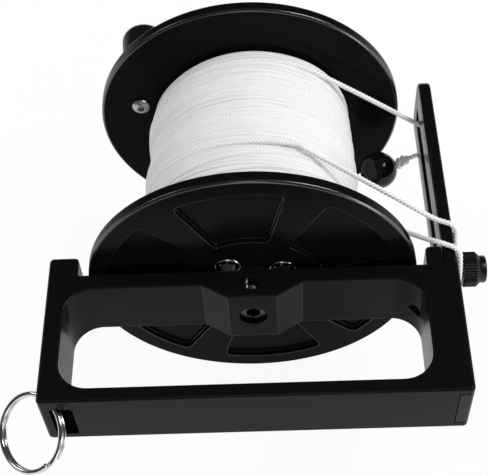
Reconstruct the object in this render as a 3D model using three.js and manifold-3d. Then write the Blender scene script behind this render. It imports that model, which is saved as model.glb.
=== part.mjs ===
// Dive reel: a one-piece yoke with a hand loop carries a flanged line spool on a fixed axle.
// Millimetres. X runs along the grip, Y along the axle away from the grip, Z is up.
// The model is laid out with the axle on the Y axis and Y = 0 at the near flange's outer face.
// At the end the whole reel is set down so that the origin is the bottom centre of its box.
import * as THREE from 'three';
import { mergeVertices } from 'three/addons/utils/BufferGeometryUtils.js';
import Module from 'manifold-3d';

const wasm = await Module();
wasm.setup();

// Shared clearances
const SEAT_GAP = 0.3; // between pieces that touch or sit in each other
const OVERRUN = 4; // how far a cut runs past a face

// Spool: two flanges, a drum between them, screws and bushes
const FLANGE_R = 60;
const FLANGE_T = 4.5;
const FLANGE_CHAMFER = 0.9;
const SPOOL_WIDTH = 75.6; // between the flanges' inner faces
const DRUM_R = 20;
const DRUM_BORE_R = 8;
const HUB_BOSS_L = 4; // boss on the flange's inner face
const POCKET_COUNT = 6;
const POCKET_DEPTH = 2;
const POCKET_IN_R = 25.8;
const POCKET_OUT_R = 52.7;
const POCKET_ANGLE = 43; // degrees
const POCKET_CORNER_R = 3;
const POCKET_START = 37.5; // degrees from +X
const HUB_SCREW_COUNT = 4;
const HUB_SCREW_PITCH_R = 13.9;
const HUB_SCREW_START = 38; // degrees from +X
const HUB_SCREW_HEAD_R = 4.9;
const HUB_SCREW_HEAD_H = 3.9;
const HUB_SCREW_R = 2.9;
const HUB_SCREW_L = 14;
const HUB_SCREW_SUNK = 1; // head's top below the flange's face
const HUB_SCREW_HEX = 5;
const BUSH_WALL = 1.8;

// Axle and what holds it
const AXLE_R = 4;
const AXLE_HEAD_R = 4.8;
const AXLE_HEAD_L = 8;
const AXLE_SUNK = 1.8; // head's face below the boss's face
const AXLE_HEX = 5;
const NEAR_WASHER_R = 8.2;
const END_WASHER_R = 9;
const END_WASHER_T = 1.6;
const NUT_ACROSS = 13;
const NUT_H = 7;
const AXLE_PAST_NUT = 1;
const SET_SCREW_R = 2.3;
const SET_SCREW_HEX = 2.5;
const SET_SCREW_SUNK = 3.5; // screw's top below the frame's top face

// Yoke frame
const FRAME_T = 26.6;
const FRAME_CHAMFER = 1.1;
const RIM_GAP = 2.4; // flange rim to the ears' inner faces
const LEFT_EAR_T = 10.3;
const RIGHT_EAR_T = 10.8;
const EAR_REACH = 5; // ears' tips past the near flange's outer face
const EAR_CORNER_R = 1.8;
const LEFT_LEG_T = 6.2;
const RIGHT_LEG_T = 12.4;
const BAR_GAP = 2.6; // near flange's outer face to the cross bar
const BAR_T = 6.3;
const LOOP_DEPTH = 39.5;
const GRIP_T = 5.3;
const LOOP_BAR_CORNER_R = 11;
const LOOP_GRIP_CORNER_R = 10;
const BOSS_H = 5.4;
const BOSS_TIP_HALF = 8.7;
const BOSS_ROOT_HALF = 19.5;
const TETHER_HOLE_R = 2.4;
const TETHER_HOLE_BACK = 10.2; // behind the cross bar's far face
const TETHER_HOLE_DROP = 1.5;

// Grip corners: an open corner slot for the split ring, a closed one with a plug
const SLOT_HALF_H = 8.8;
const SLOT_DROP = 1.2; // the slot's middle below the axle
const POST_W = 3.6;
const POST_CORNER_R = 1;
const SLOT_OPENING = 7.9; // along each outer face, from the post
const SLOT_DEPTH = 3.2; // at the far end of each opening
const PLUG_W = 4.6;
const PLUG_DEPTH = 6.5;
const PLUG_HALF_H = 9.9;

// Split ring
const RING_OUT_R = 13.8;
const RING_WIRE_W = 1.5; // across the ring
const RING_WIRE_T = 0.95; // along the ring's axis
const RING_TURN_GAP = 0.45;
const RING_TURNS = 1.96;
const RING_STEPS = 24; // per turn
const RING_SIDES = 8;
const RING_SIDE_X = 2.9; // ring's centre, outwards from the frame's left face
const RING_FRONT_Y = 2.9; // and forwards from the grip's front face
const RING_DROP = 1.6; // and below the axle
const RING_AZIMUTH = 218.9; // degrees, the ring's axis
const RING_ELEVATION = 52.6;

// Line guide arm
const ARM_T = 4.8;
const ARM_LENGTH = 89.3;
const ARM_INLAY = 6.7; // length let into the right ear
const ARM_CHAMFER = 0.8;
const ARM_TIP_R = 6;
const ARM_TAIL_R = 1.2;
const ARM_SLOT_W = 7.2;
const ARM_SLOT_DROP = 1.5;
const ARM_SLOT_TIP_WALL = 5.6;
const ARM_SLOT_EAR_WALL = 0.6;
const GUIDE_SCREW_R = 1.4;
const GUIDE_SCREW_HEAD_R = 2.8;
const GUIDE_SCREW_L = 9;
const GUIDE_SCREW_Z = 9.2;
const GUIDE_SCREW_HEX = 2;

// Lock screw: a knurled knob drives a soft pad against the near flange's rim
const LOCK_R = 2;
const LOCK_RISE = 2.2; // above the axle
const LOCK_PAD_L = 3;
const LOCK_PAD_CLEAR = 0.5; // pad to rim with the screw backed off
const LOCK_STANDOFF = 3.5; // frame's side to knob
const LOCK_KNOB_R = 6.4;
const LOCK_KNOB_L = 6.2;
const LOCK_KNOB_CHAMFER = 1.4;
const LOCK_NOSE_R = 5;
const LOCK_NOSE_L = 2.6;
const LOCK_NOSE_ROUND = 0.9;
const LOCK_FLUTES = 24;
const LOCK_FLUTE_W = 0.7;
const LOCK_FLUTE_D = 0.4;
const LOCK_SCREW_GRIP = 5; // length of screw inside the knob

// Winding knob on the far flange
const KNOB_FROM_RIM = 15.4; // its axis to the far flange's rim
const KNOB_BEARING = 165.7; // degrees from +X
const KNOB_R = 9.2;
const KNOB_L = 35;
const KNOB_WAIST = 0.7;
const KNOB_ROUND = 5;
const KNOB_FOOT_ROUND = 1.5;
const KNOB_WASHER_R = 6;
const KNOB_WASHER_T = 1;
const POST_R = 3.2;
const POST_HEAD_R = 5.2;
const POST_HEAD_T = 2;
const POST_HEAD_SUNK = 0.6;
const POST_HEX = 4;
const KNOB_SCREW_R = 1.9;
const KNOB_SCREW_L = 20;
const KNOB_SCREW_HEAD_R = 3.7;
const KNOB_SCREW_HEAD_H = 2.1;
const KNOB_SCREW_HEX = 2.5;

// Line
const LINE_D = 1.75;
const WOUND_FROM_RIM = 18.8; // outside of the outer layer to the flange rims
const WOUND_SHOULDER = 1.6; // how much the outer layer falls at each flange
const WOUND_LOOPS = 20;
const WOUND_STEPS = 24;
const WOUND_SIDES = 6;
const WOUND_FLATNESS = 6; // how late the layer falls toward the flanges
const CORE_STATIONS = 6;
const CORE_FACETS = 32;
const FREE_SIDES = 8;
const FREE_STEP = 3.9; // along the free line
const KNOT_R = 2.2;
const KNOT_NECK_R = 1.6;
const KNOT_L = 6.5;
const KNOT_WRAPS = 3;
const BALL_R = 7.5;
const BALL_BORE_R = 1.4;

// Facets
const RIM_FACETS = 48;
const ROUND_FACETS = 20;
const SMALL_FACETS = 12;
const KNURL_FACETS = 24;
const ARC_STEPS = 6;
const CORNER_STEPS = 3;
const POCKET_STEPS = 2;

// Values that follow from the sizes above
const NEAR_Y = 0;
const NEAR_IN_Y = NEAR_Y + FLANGE_T;
const FAR_IN_Y = NEAR_IN_Y + SPOOL_WIDTH;
const FAR_OUT_Y = FAR_IN_Y + FLANGE_T;
const EAR_TIP_Y = NEAR_Y + EAR_REACH;
const KNOB_ORBIT_R = FLANGE_R - KNOB_FROM_RIM;
const WOUND_R = FLANGE_R - WOUND_FROM_RIM;
const BAR_BACK_Y = NEAR_Y - BAR_GAP;
const BAR_FRONT_Y = BAR_BACK_Y - BAR_T;
const BOSS_Y = BAR_FRONT_Y - BOSS_H;
const LOOP_FRONT_Y = BAR_FRONT_Y - LOOP_DEPTH;
const GRIP_Y = LOOP_FRONT_Y - GRIP_T;
const EAR_IN_X = FLANGE_R + RIM_GAP;
const LEFT_X = -EAR_IN_X - LEFT_EAR_T;
const RIGHT_X = EAR_IN_X + RIGHT_EAR_T;
const LOOP_LEFT_X = LEFT_X + LEFT_LEG_T;
const LOOP_RIGHT_X = RIGHT_X - RIGHT_LEG_T;
const FRAME_HALF_T = FRAME_T / 2;
const ARM_TAIL_Y = EAR_TIP_Y - ARM_INLAY;
const ARM_TIP_Y = ARM_TAIL_Y + ARM_LENGTH;
const ARM_IN_X = RIGHT_X - ARM_T;
const LOCK_Y = (ARM_TAIL_Y + EAR_TIP_Y) / 2;
const AXLE_BORE_R = AXLE_R + SEAT_GAP;
const BUSH_R = AXLE_BORE_R + BUSH_WALL;
const AXLE_HEAD_Y = BOSS_Y + AXLE_SUNK;
const AXLE_SHOULDER_Y = AXLE_HEAD_Y + AXLE_HEAD_L;
const END_WASHER_Y = FAR_OUT_Y + SEAT_GAP;
const NUT_Y = END_WASHER_Y + END_WASHER_T + SEAT_GAP;
const AXLE_END_Y = NUT_Y + NUT_H + AXLE_PAST_NUT;
const KNOB_FOOT_Y = FAR_OUT_Y + KNOB_WASHER_T + 2 * SEAT_GAP;
const KNOB_END_Y = FAR_OUT_Y + KNOB_L;
const LOCK_KNOB_X = RIGHT_X + LOCK_STANDOFF;
const LOCK_PAD_X = FLANGE_R + LOCK_PAD_CLEAR;

// Finishes
const anodised = { color: 0x141414, roughness: 0.42, metalness: 0.6 };
const blackPlastic = { color: 0x1a1a1b, roughness: 0.5, metalness: 0 };
const stainless = { color: 0xc8c8c6, roughness: 0.25, metalness: 1 };
const polished = { color: 0xd8d8d8, roughness: 0.12, metalness: 1 };
const acetal = { color: 0xe6e4dc, roughness: 0.45, metalness: 0 };
const glossBlack = { color: 0x070707, roughness: 0.12, metalness: 0 };
const lineWhite = { color: 0xf1f1ef, roughness: 0.85, metalness: 0 };

const radians = THREE.MathUtils.degToRad;

// Solids
function toSolid(geometry) {
  const bare = geometry.index ? geometry.toNonIndexed() : geometry.clone();
  bare.deleteAttribute('normal');
  bare.deleteAttribute('uv');
  const merged = mergeVertices(bare);
  const corners = merged.index.array;
  const kept = [];
  for (let i = 0; i < corners.length; i += 3) {
    const [a, b, c] = [corners[i], corners[i + 1], corners[i + 2]];
    if (a !== b && b !== c && c !== a) kept.push(a, b, c);
  }
  return new wasm.Manifold(new wasm.Mesh({
    numProp: 3,
    vertProperties: new Float32Array(merged.attributes.position.array),
    triVerts: new Uint32Array(kept),
  }));
}

function toGeometry(solid) {
  const mesh = solid.getMesh();
  const geometry = new THREE.BufferGeometry();
  geometry.setAttribute('position', new THREE.BufferAttribute(mesh.vertProperties, mesh.numProp));
  geometry.setIndex(new THREE.BufferAttribute(mesh.triVerts, 1));
  geometry.computeVertexNormals();
  return geometry;
}

function cut(geometry, ...tools) {
  let solid = toSolid(geometry);
  for (const tool of tools) solid = solid.subtract(toSolid(tool));
  return toGeometry(solid);
}

function piece(name, geometry, finish) {
  const mesh = new THREE.Mesh(geometry, new THREE.MeshStandardMaterial(finish));
  mesh.name = name;
  return mesh;
}

// A turned shape about the Y axis from [radius, y] points, and the same about the X axis
function turned(points, facets) {
  const profile = points.map(([r, y]) => new THREE.Vector2(r, y));
  if (points[0][0] > 0) profile.push(profile[0].clone());
  return new THREE.LatheGeometry(profile, facets);
}

function turnedAlongX(points, facets) {
  return turned(points, facets).rotateZ(-Math.PI / 2);
}

function rod(r, y0, y1, facets) {
  return turned([[0, y0], [r, y0], [r, y1], [0, y1]], facets);
}

function rodAlongX(r, x0, x1, facets) {
  return turnedAlongX([[0, x0], [r, x0], [r, x1], [0, x1]], facets);
}

function rodAlongZ(r, z0, z1, facets) {
  return rod(r, z0, z1, facets).rotateX(Math.PI / 2);
}

function sleeve(inR, outR, y0, y1, facets) {
  return turned([[inR, y0], [outR, y0], [outR, y1], [inR, y1]], facets);
}

function hexRod(across, y0, y1) {
  const r = across / 2 / Math.cos(Math.PI / 6);
  return rod(r, y0, y1, 6);
}

function box(x0, x1, y0, y1, z0, z1) {
  const geometry = new THREE.BoxGeometry(x1 - x0, y1 - y0, z1 - z0);
  return geometry.translate((x0 + x1) / 2, (y0 + y1) / 2, (z0 + z1) / 2);
}

// A flat outline with its corners rounded: points are [x, y, corner radius]
function roundedOutline(points, Outline = THREE.Shape) {
  const outline = new Outline();
  points.forEach(([x, y, r], i) => {
    const corner = new THREE.Vector2(x, y);
    if (!r) {
      if (i) outline.lineTo(x, y);
      else outline.moveTo(x, y);
      return;
    }
    const before = points[(i + points.length - 1) % points.length];
    const after = points[(i + 1) % points.length];
    const back = new THREE.Vector2(before[0], before[1]).sub(corner).normalize();
    const on = new THREE.Vector2(after[0], after[1]).sub(corner).normalize();
    const half = back.angleTo(on) / 2;
    const reach = r / Math.tan(half);
    const start = corner.clone().addScaledVector(back, reach);
    const end = corner.clone().addScaledVector(on, reach);
    const centre = corner.clone().addScaledVector(back.clone().add(on).normalize(), r / Math.sin(half));
    const a0 = Math.atan2(start.y - centre.y, start.x - centre.x);
    const a1 = Math.atan2(end.y - centre.y, end.x - centre.x);
    if (i) outline.lineTo(start.x, start.y);
    else outline.moveTo(start.x, start.y);
    outline.absarc(centre.x, centre.y, r, a0, a1, back.cross(on) > 0);
  });
  outline.closePath();
  return outline;
}

// A plate between z0 and z1 whose edges are chamfered all round
function chamferedPlate(outline, z0, z1, chamfer) {
  const geometry = new THREE.ExtrudeGeometry(outline, {
    depth: z1 - z0 - 2 * chamfer,
    bevelThickness: chamfer,
    bevelSize: chamfer,
    bevelOffset: -chamfer,
    bevelSegments: 1,
    curveSegments: CORNER_STEPS,
  });
  return geometry.translate(0, 0, z0 + chamfer);
}

function plate(outline, z0, z1, curveSegments = CORNER_STEPS) {
  const geometry = new THREE.ExtrudeGeometry(outline, {
    depth: z1 - z0,
    bevelEnabled: false,
    curveSegments,
  });
  return geometry.translate(0, 0, z0);
}

// Places round the axle at a radius and an angle, as [x, z]
function around(r, degrees) {
  return [r * Math.cos(radians(degrees)), r * Math.sin(radians(degrees))];
}

function screwPlaces() {
  const step = 360 / HUB_SCREW_COUNT;
  return Array.from({ length: HUB_SCREW_COUNT }, (_, i) => {
    return around(HUB_SCREW_PITCH_R, HUB_SCREW_START + i * step);
  });
}

// What is laid out on the near flange, turned over onto the far one
function onFarSide(geometry) {
  return geometry.rotateZ(Math.PI).translate(0, FAR_OUT_Y, 0);
}

// Yoke frame: grip, two legs, cross bar with its boss, and two ears beside the near flange
function frameOutline() {
  const outline = roundedOutline([
    [LEFT_X, GRIP_Y, EAR_CORNER_R],
    [RIGHT_X, GRIP_Y, EAR_CORNER_R],
    [RIGHT_X, EAR_TIP_Y, 0],
    [EAR_IN_X, EAR_TIP_Y, EAR_CORNER_R],
    [EAR_IN_X, BAR_BACK_Y, 0],
    [-EAR_IN_X, BAR_BACK_Y, 0],
    [-EAR_IN_X, EAR_TIP_Y, EAR_CORNER_R],
    [LEFT_X, EAR_TIP_Y, EAR_CORNER_R],
  ]);
  outline.holes.push(roundedOutline([
    [LOOP_LEFT_X, LOOP_FRONT_Y, LOOP_GRIP_CORNER_R],
    [LOOP_LEFT_X, BAR_FRONT_Y, LOOP_BAR_CORNER_R],
    [-BOSS_ROOT_HALF, BAR_FRONT_Y, 0],
    [-BOSS_TIP_HALF, BOSS_Y, 0],
    [BOSS_TIP_HALF, BOSS_Y, 0],
    [BOSS_ROOT_HALF, BAR_FRONT_Y, 0],
    [LOOP_RIGHT_X, BAR_FRONT_Y, LOOP_BAR_CORNER_R],
    [LOOP_RIGHT_X, LOOP_FRONT_Y, LOOP_GRIP_CORNER_R],
  ], THREE.Path));
  return outline;
}

function cornerSlot() {
  const out = OVERRUN;
  const postX = LEFT_X + POST_W;
  const postY = GRIP_Y + POST_W;
  const outline = roundedOutline([
    [LEFT_X - out, postY, 0],
    [postX, postY, POST_CORNER_R],
    [postX, GRIP_Y - out, 0],
    [postX + SLOT_OPENING, GRIP_Y - out, 0],
    [postX + SLOT_OPENING, GRIP_Y + SLOT_DEPTH, 0],
    [LEFT_X + SLOT_DEPTH, postY + SLOT_OPENING, 0],
    [LEFT_X - out, postY + SLOT_OPENING, 0],
  ]);
  return plate(outline, -SLOT_HALF_H - SLOT_DROP, SLOT_HALF_H - SLOT_DROP);
}

function guideScrewCut(z) {
  const rootX = RIGHT_X - GUIDE_SCREW_L - 2 * SEAT_GAP;
  const r = GUIDE_SCREW_R + SEAT_GAP;
  const headR = GUIDE_SCREW_HEAD_R + SEAT_GAP;
  const neckX = RIGHT_X - (headR - r);
  const outX = RIGHT_X + OVERRUN;
  const points = [[0, rootX], [r, rootX], [r, neckX], [headR, RIGHT_X], [headR, outX], [0, outX]];
  return turnedAlongX(points, SMALL_FACETS).translate(0, LOCK_Y, z);
}

function yokeFrame() {
  const lockBoreR = LOCK_R + SEAT_GAP;
  const tetherY = BAR_BACK_Y - TETHER_HOLE_BACK;
  const setY = (BOSS_Y + BAR_BACK_Y) / 2;
  const seatX = ARM_IN_X - SEAT_GAP;
  const inlay = roundedOutline([
    [seatX, EAR_TIP_Y + OVERRUN, 0],
    [seatX, ARM_TAIL_Y - SEAT_GAP, ARM_TAIL_R],
    [RIGHT_X + OVERRUN, ARM_TAIL_Y - SEAT_GAP, 0],
    [RIGHT_X + OVERRUN, EAR_TIP_Y + OVERRUN, 0],
  ]);
  return cut(
    chamferedPlate(frameOutline(), -FRAME_HALF_T, FRAME_HALF_T, FRAME_CHAMFER),
    rod(AXLE_HEAD_R + SEAT_GAP, BOSS_Y - OVERRUN, AXLE_SHOULDER_Y + SEAT_GAP, ROUND_FACETS),
    rod(AXLE_BORE_R, BOSS_Y, NEAR_Y, ROUND_FACETS),
    rodAlongZ(SET_SCREW_R + SEAT_GAP, 0, FRAME_HALF_T + OVERRUN, SMALL_FACETS).translate(0, setY, 0),
    rodAlongX(lockBoreR, EAR_IN_X - OVERRUN, RIGHT_X + OVERRUN, SMALL_FACETS)
      .translate(0, LOCK_Y, LOCK_RISE),
    rodAlongX(TETHER_HOLE_R, LOOP_RIGHT_X - LOOP_BAR_CORNER_R, RIGHT_X + OVERRUN, SMALL_FACETS)
      .translate(0, tetherY, -TETHER_HOLE_DROP),
    plate(inlay, -FRAME_HALF_T - OVERRUN, FRAME_HALF_T + OVERRUN),
    guideScrewCut(GUIDE_SCREW_Z),
    guideScrewCut(-GUIDE_SCREW_Z),
    cornerSlot(),
    plugSeat(),
  );
}

function plugSeat() {
  const half = PLUG_HALF_H + SEAT_GAP;
  const x0 = RIGHT_X - PLUG_W - SEAT_GAP;
  const y1 = GRIP_Y + PLUG_DEPTH + SEAT_GAP;
  return box(x0, RIGHT_X + OVERRUN, GRIP_Y - OVERRUN, y1, -half, half);
}

function cornerPlug() {
  const outline = roundedOutline([
    [RIGHT_X - PLUG_W, GRIP_Y, 0],
    [RIGHT_X, GRIP_Y, EAR_CORNER_R],
    [RIGHT_X, GRIP_Y + PLUG_DEPTH, 0],
    [RIGHT_X - PLUG_W, GRIP_Y + PLUG_DEPTH, 0],
  ]);
  return plate(outline, -PLUG_HALF_H, PLUG_HALF_H);
}

// Line guide arm: a flat bar on edge, its tail let into the right ear, with one long slot
function guideArm() {
  const slotR = ARM_SLOT_W / 2;
  const slotEnd = ARM_TIP_Y - ARM_SLOT_TIP_WALL;
  const slotStart = EAR_TIP_Y + ARM_SLOT_EAR_WALL;
  const outline = roundedOutline([
    [ARM_TAIL_Y, -FRAME_HALF_T, 0],
    [ARM_TIP_Y, -FRAME_HALF_T, ARM_TIP_R],
    [ARM_TIP_Y, FRAME_HALF_T, ARM_TIP_R],
    [ARM_TAIL_Y, FRAME_HALF_T, 0],
  ]);
  const slot = new THREE.Path();
  slot.absarc(slotEnd - slotR, -ARM_SLOT_DROP, slotR, -Math.PI / 2, Math.PI / 2, false);
  slot.absarc(slotStart + slotR, -ARM_SLOT_DROP, slotR, Math.PI / 2, -Math.PI / 2, false);
  outline.holes.push(slot);
  const arm = chamferedPlate(outline, ARM_IN_X, RIGHT_X, ARM_CHAMFER);
  const place = new THREE.Matrix4().makeBasis(
    new THREE.Vector3(0, 1, 0), new THREE.Vector3(0, 0, 1), new THREE.Vector3(1, 0, 0),
  );
  arm.applyMatrix4(place);
  return cut(
    arm,
    rodAlongX(LOCK_R + SEAT_GAP, EAR_IN_X, RIGHT_X + OVERRUN, SMALL_FACETS).translate(0, LOCK_Y, LOCK_RISE),
    guideScrewCut(GUIDE_SCREW_Z),
    guideScrewCut(-GUIDE_SCREW_Z),
  );
}

function guideScrew(z) {
  const rootX = RIGHT_X - GUIDE_SCREW_L;
  const neckX = RIGHT_X - (GUIDE_SCREW_HEAD_R - GUIDE_SCREW_R);
  const r = GUIDE_SCREW_R;
  const points = [[0, rootX], [r, rootX], [r, neckX], [GUIDE_SCREW_HEAD_R, RIGHT_X], [0, RIGHT_X]];
  const socket = hexRod(GUIDE_SCREW_HEX, neckX, RIGHT_X + OVERRUN).rotateZ(-Math.PI / 2);
  return cut(turnedAlongX(points, SMALL_FACETS), socket).translate(0, LOCK_Y, z);
}

// Flange with its outer face at Y = 0 facing -Y: chamfered rim, hub boss, pockets, screw seats
function flange(pocketStart) {
  const c = FLANGE_CHAMFER;
  const boreR = BUSH_R + SEAT_GAP;
  const bossY = FLANGE_T + HUB_BOSS_L;
  const blank = turned([
    [boreR, 0],
    [FLANGE_R - c, 0],
    [FLANGE_R, c],
    [FLANGE_R, FLANGE_T - c],
    [FLANGE_R - c, FLANGE_T],
    [DRUM_R, FLANGE_T],
    [DRUM_R, bossY],
    [boreR, bossY],
  ], RIM_FACETS);
  const tools = [];
  for (let i = 0; i < POCKET_COUNT; i += 1) {
    tools.push(pocketCut(pocketStart + (i * 360) / POCKET_COUNT));
  }
  const seatFloor = HUB_SCREW_SUNK + HUB_SCREW_HEAD_H + SEAT_GAP;
  for (const [x, z] of screwPlaces()) {
    const seat = rod(HUB_SCREW_HEAD_R + SEAT_GAP, -OVERRUN, seatFloor, ROUND_FACETS);
    const hole = rod(HUB_SCREW_R + SEAT_GAP, 0, bossY + OVERRUN, SMALL_FACETS);
    tools.push(seat.translate(x, 0, z), hole.translate(x, 0, z));
  }
  return cut(blank, ...tools);
}

// One pocket: a sector of a ring with its four corners rounded
function pocketCut(bearing) {
  const r = POCKET_CORNER_R;
  const inner = POCKET_IN_R + r;
  const outer = POCKET_OUT_R - r;
  const half = radians(POCKET_ANGLE) / 2;
  const innerAt = half - Math.asin(r / inner);
  const outerAt = half - Math.asin(r / outer);
  const quarter = Math.PI / 2;
  const outline = new THREE.Shape();
  const corner = (distance, at, from, to) => {
    outline.absarc(distance * Math.cos(at), distance * Math.sin(at), r, from, to, false);
  };
  corner(outer, -outerAt, -half - quarter, -outerAt);
  outline.absarc(0, 0, POCKET_OUT_R, -outerAt, outerAt, false);
  corner(outer, outerAt, outerAt, half + quarter);
  corner(inner, innerAt, half + quarter, innerAt + Math.PI);
  outline.absarc(0, 0, POCKET_IN_R, innerAt, -innerAt, true);
  corner(inner, -innerAt, Math.PI - innerAt, Math.PI + quarter - half);
  outline.closePath();
  const pocket = plate(outline, -POCKET_DEPTH, OVERRUN, POCKET_STEPS);
  return pocket.rotateX(quarter).rotateY(-radians(bearing));
}

function nearFlange() {
  return flange(POCKET_START);
}

// The far flange is the same with its pockets turned so that the winding knob stands on a rib
function farFlange() {
  const rib = 180 / POCKET_COUNT;
  const hole = rod(KNOB_SCREW_R + SEAT_GAP, FAR_IN_Y - OVERRUN, FAR_OUT_Y + OVERRUN, SMALL_FACETS);
  return cut(onFarSide(flange(180 - KNOB_BEARING - rib)), hole.translate(...knobPlace()));
}

function knobPlace() {
  const [x, z] = around(KNOB_ORBIT_R, KNOB_BEARING);
  return [x, 0, z];
}

// Hub screw with its head in the near flange, at one of its places
function hubScrew([x, z]) {
  const top = HUB_SCREW_SUNK;
  const neck = top + HUB_SCREW_HEAD_H;
  const end = neck + HUB_SCREW_L;
  const headR = HUB_SCREW_HEAD_R;
  const r = HUB_SCREW_R;
  const body = turned([[0, top], [headR, top], [headR, neck], [r, neck], [r, end], [0, end]], SMALL_FACETS);
  const socket = hexRod(HUB_SCREW_HEX, top - OVERRUN, top + HUB_SCREW_HEAD_H / 2);
  return cut(body, socket).translate(x, 0, z);
}

function spoolDrum() {
  const y0 = NEAR_IN_Y + HUB_BOSS_L + SEAT_GAP;
  const y1 = FAR_IN_Y - HUB_BOSS_L - SEAT_GAP;
  const depth = HUB_SCREW_SUNK + HUB_SCREW_HEAD_H + HUB_SCREW_L + SEAT_GAP;
  const tools = [];
  for (const [x, z] of screwPlaces()) {
    const hole = () => rod(HUB_SCREW_R + SEAT_GAP, NEAR_Y, NEAR_Y + depth, SMALL_FACETS).translate(x, 0, z);
    tools.push(hole(), onFarSide(hole()));
  }
  return cut(sleeve(DRUM_BORE_R, DRUM_R, y0, y1, RIM_FACETS), ...tools);
}

function bush() {
  return sleeve(AXLE_BORE_R, BUSH_R, NEAR_Y, NEAR_IN_Y + HUB_BOSS_L, ROUND_FACETS);
}

// Axle: head in the boss, shank through the spool, thread for the end nut
function axle() {
  const points = [
    [0, AXLE_HEAD_Y],
    [AXLE_HEAD_R, AXLE_HEAD_Y],
    [AXLE_HEAD_R, AXLE_SHOULDER_Y],
    [AXLE_R, AXLE_SHOULDER_Y],
    [AXLE_R, AXLE_END_Y],
    [0, AXLE_END_Y],
  ];
  const socket = hexRod(AXLE_HEX, AXLE_HEAD_Y - OVERRUN, AXLE_HEAD_Y + AXLE_HEAD_L / 3);
  return cut(turned(points, ROUND_FACETS), socket);
}

function axleSetScrew() {
  const low = AXLE_HEAD_R + SEAT_GAP;
  const top = FRAME_HALF_T - SET_SCREW_SUNK;
  const body = rodAlongZ(SET_SCREW_R, low, top, SMALL_FACETS);
  const socket = hexRod(SET_SCREW_HEX, (low + top) / 2, top + OVERRUN).rotateX(Math.PI / 2);
  return cut(body, socket).translate(0, (BOSS_Y + BAR_BACK_Y) / 2, 0);
}

function thrustWasher() {
  return sleeve(AXLE_BORE_R, NEAR_WASHER_R, BAR_BACK_Y + SEAT_GAP, NEAR_Y - SEAT_GAP, ROUND_FACETS);
}

function endWasher() {
  return sleeve(AXLE_BORE_R, END_WASHER_R, END_WASHER_Y, END_WASHER_Y + END_WASHER_T, ROUND_FACETS);
}

function endNut() {
  const hole = rod(AXLE_BORE_R, NUT_Y - OVERRUN, NUT_Y + NUT_H + OVERRUN, ROUND_FACETS);
  return cut(hexRod(NUT_ACROSS, NUT_Y, NUT_Y + NUT_H), hole);
}

// Winding knob: a waisted grip with a round end, free on a post screwed to the far flange
function windingKnob() {
  const boreR = POST_R + SEAT_GAP;
  const headR = POST_HEAD_R + SEAT_GAP;
  const seatY = KNOB_END_Y - POST_HEAD_SUNK - POST_HEAD_T - SEAT_GAP;
  const waist0 = KNOB_FOOT_Y + KNOB_FOOT_ROUND;
  const waist1 = KNOB_END_Y - KNOB_ROUND;
  const points = [[boreR, KNOB_FOOT_Y], [KNOB_R - KNOB_FOOT_ROUND, KNOB_FOOT_Y]];
  for (let i = 0; i < ARC_STEPS; i += 1) {
    const share = i / ARC_STEPS;
    const r = KNOB_R - KNOB_WAIST * Math.sin(Math.PI * share);
    points.push([r, waist0 + (waist1 - waist0) * share]);
  }
  const sweep = Math.acos(1 - (KNOB_R - headR) / KNOB_ROUND);
  for (let i = 0; i <= ARC_STEPS; i += 1) {
    const angle = (sweep * i) / ARC_STEPS;
    points.push([KNOB_R - KNOB_ROUND * (1 - Math.cos(angle)), waist1 + KNOB_ROUND * Math.sin(angle)]);
  }
  points.push([headR, seatY], [boreR, seatY]);
  return turned(points, ROUND_FACETS).translate(...knobPlace());
}

function knobWasher() {
  const y0 = FAR_OUT_Y + SEAT_GAP;
  const washer = sleeve(POST_R + SEAT_GAP, KNOB_WASHER_R, y0, y0 + KNOB_WASHER_T, ROUND_FACETS);
  return washer.translate(...knobPlace());
}

function knobPost() {
  const y0 = FAR_OUT_Y + SEAT_GAP;
  const y1 = KNOB_END_Y - POST_HEAD_SUNK;
  const neck = y1 - POST_HEAD_T;
  const boreR = KNOB_SCREW_R + SEAT_GAP;
  const boreEnd = FAR_IN_Y + KNOB_SCREW_L + SEAT_GAP;
  const points = [
    [boreR, y0],
    [POST_R, y0],
    [POST_R, neck],
    [POST_HEAD_R, neck],
    [POST_HEAD_R, y1],
    [0, y1],
    [0, boreEnd],
    [boreR, boreEnd],
  ];
  const socket = hexRod(POST_HEX, y1 - POST_HEAD_T / 2, y1 + OVERRUN);
  return cut(turned(points, ROUND_FACETS), socket).translate(...knobPlace());
}

// Button-head screw on the far flange's inner face, up into the post
function knobScrew() {
  const neck = FAR_IN_Y - SEAT_GAP;
  const end = neck + KNOB_SCREW_L;
  const steps = ARC_STEPS / 2;
  const points = [[0, neck - KNOB_SCREW_HEAD_H]];
  for (let i = 1; i <= steps; i += 1) {
    const angle = (Math.PI / 2) * (i / steps);
    points.push([KNOB_SCREW_HEAD_R * Math.sin(angle), neck - KNOB_SCREW_HEAD_H * Math.cos(angle)]);
  }
  points.push([KNOB_SCREW_R, neck], [KNOB_SCREW_R, end], [0, end]);
  const socket = hexRod(KNOB_SCREW_HEX, neck - KNOB_SCREW_HEAD_H - OVERRUN, neck - KNOB_SCREW_HEAD_H / 2);
  return cut(turned(points, ROUND_FACETS), socket).translate(...knobPlace());
}

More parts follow.
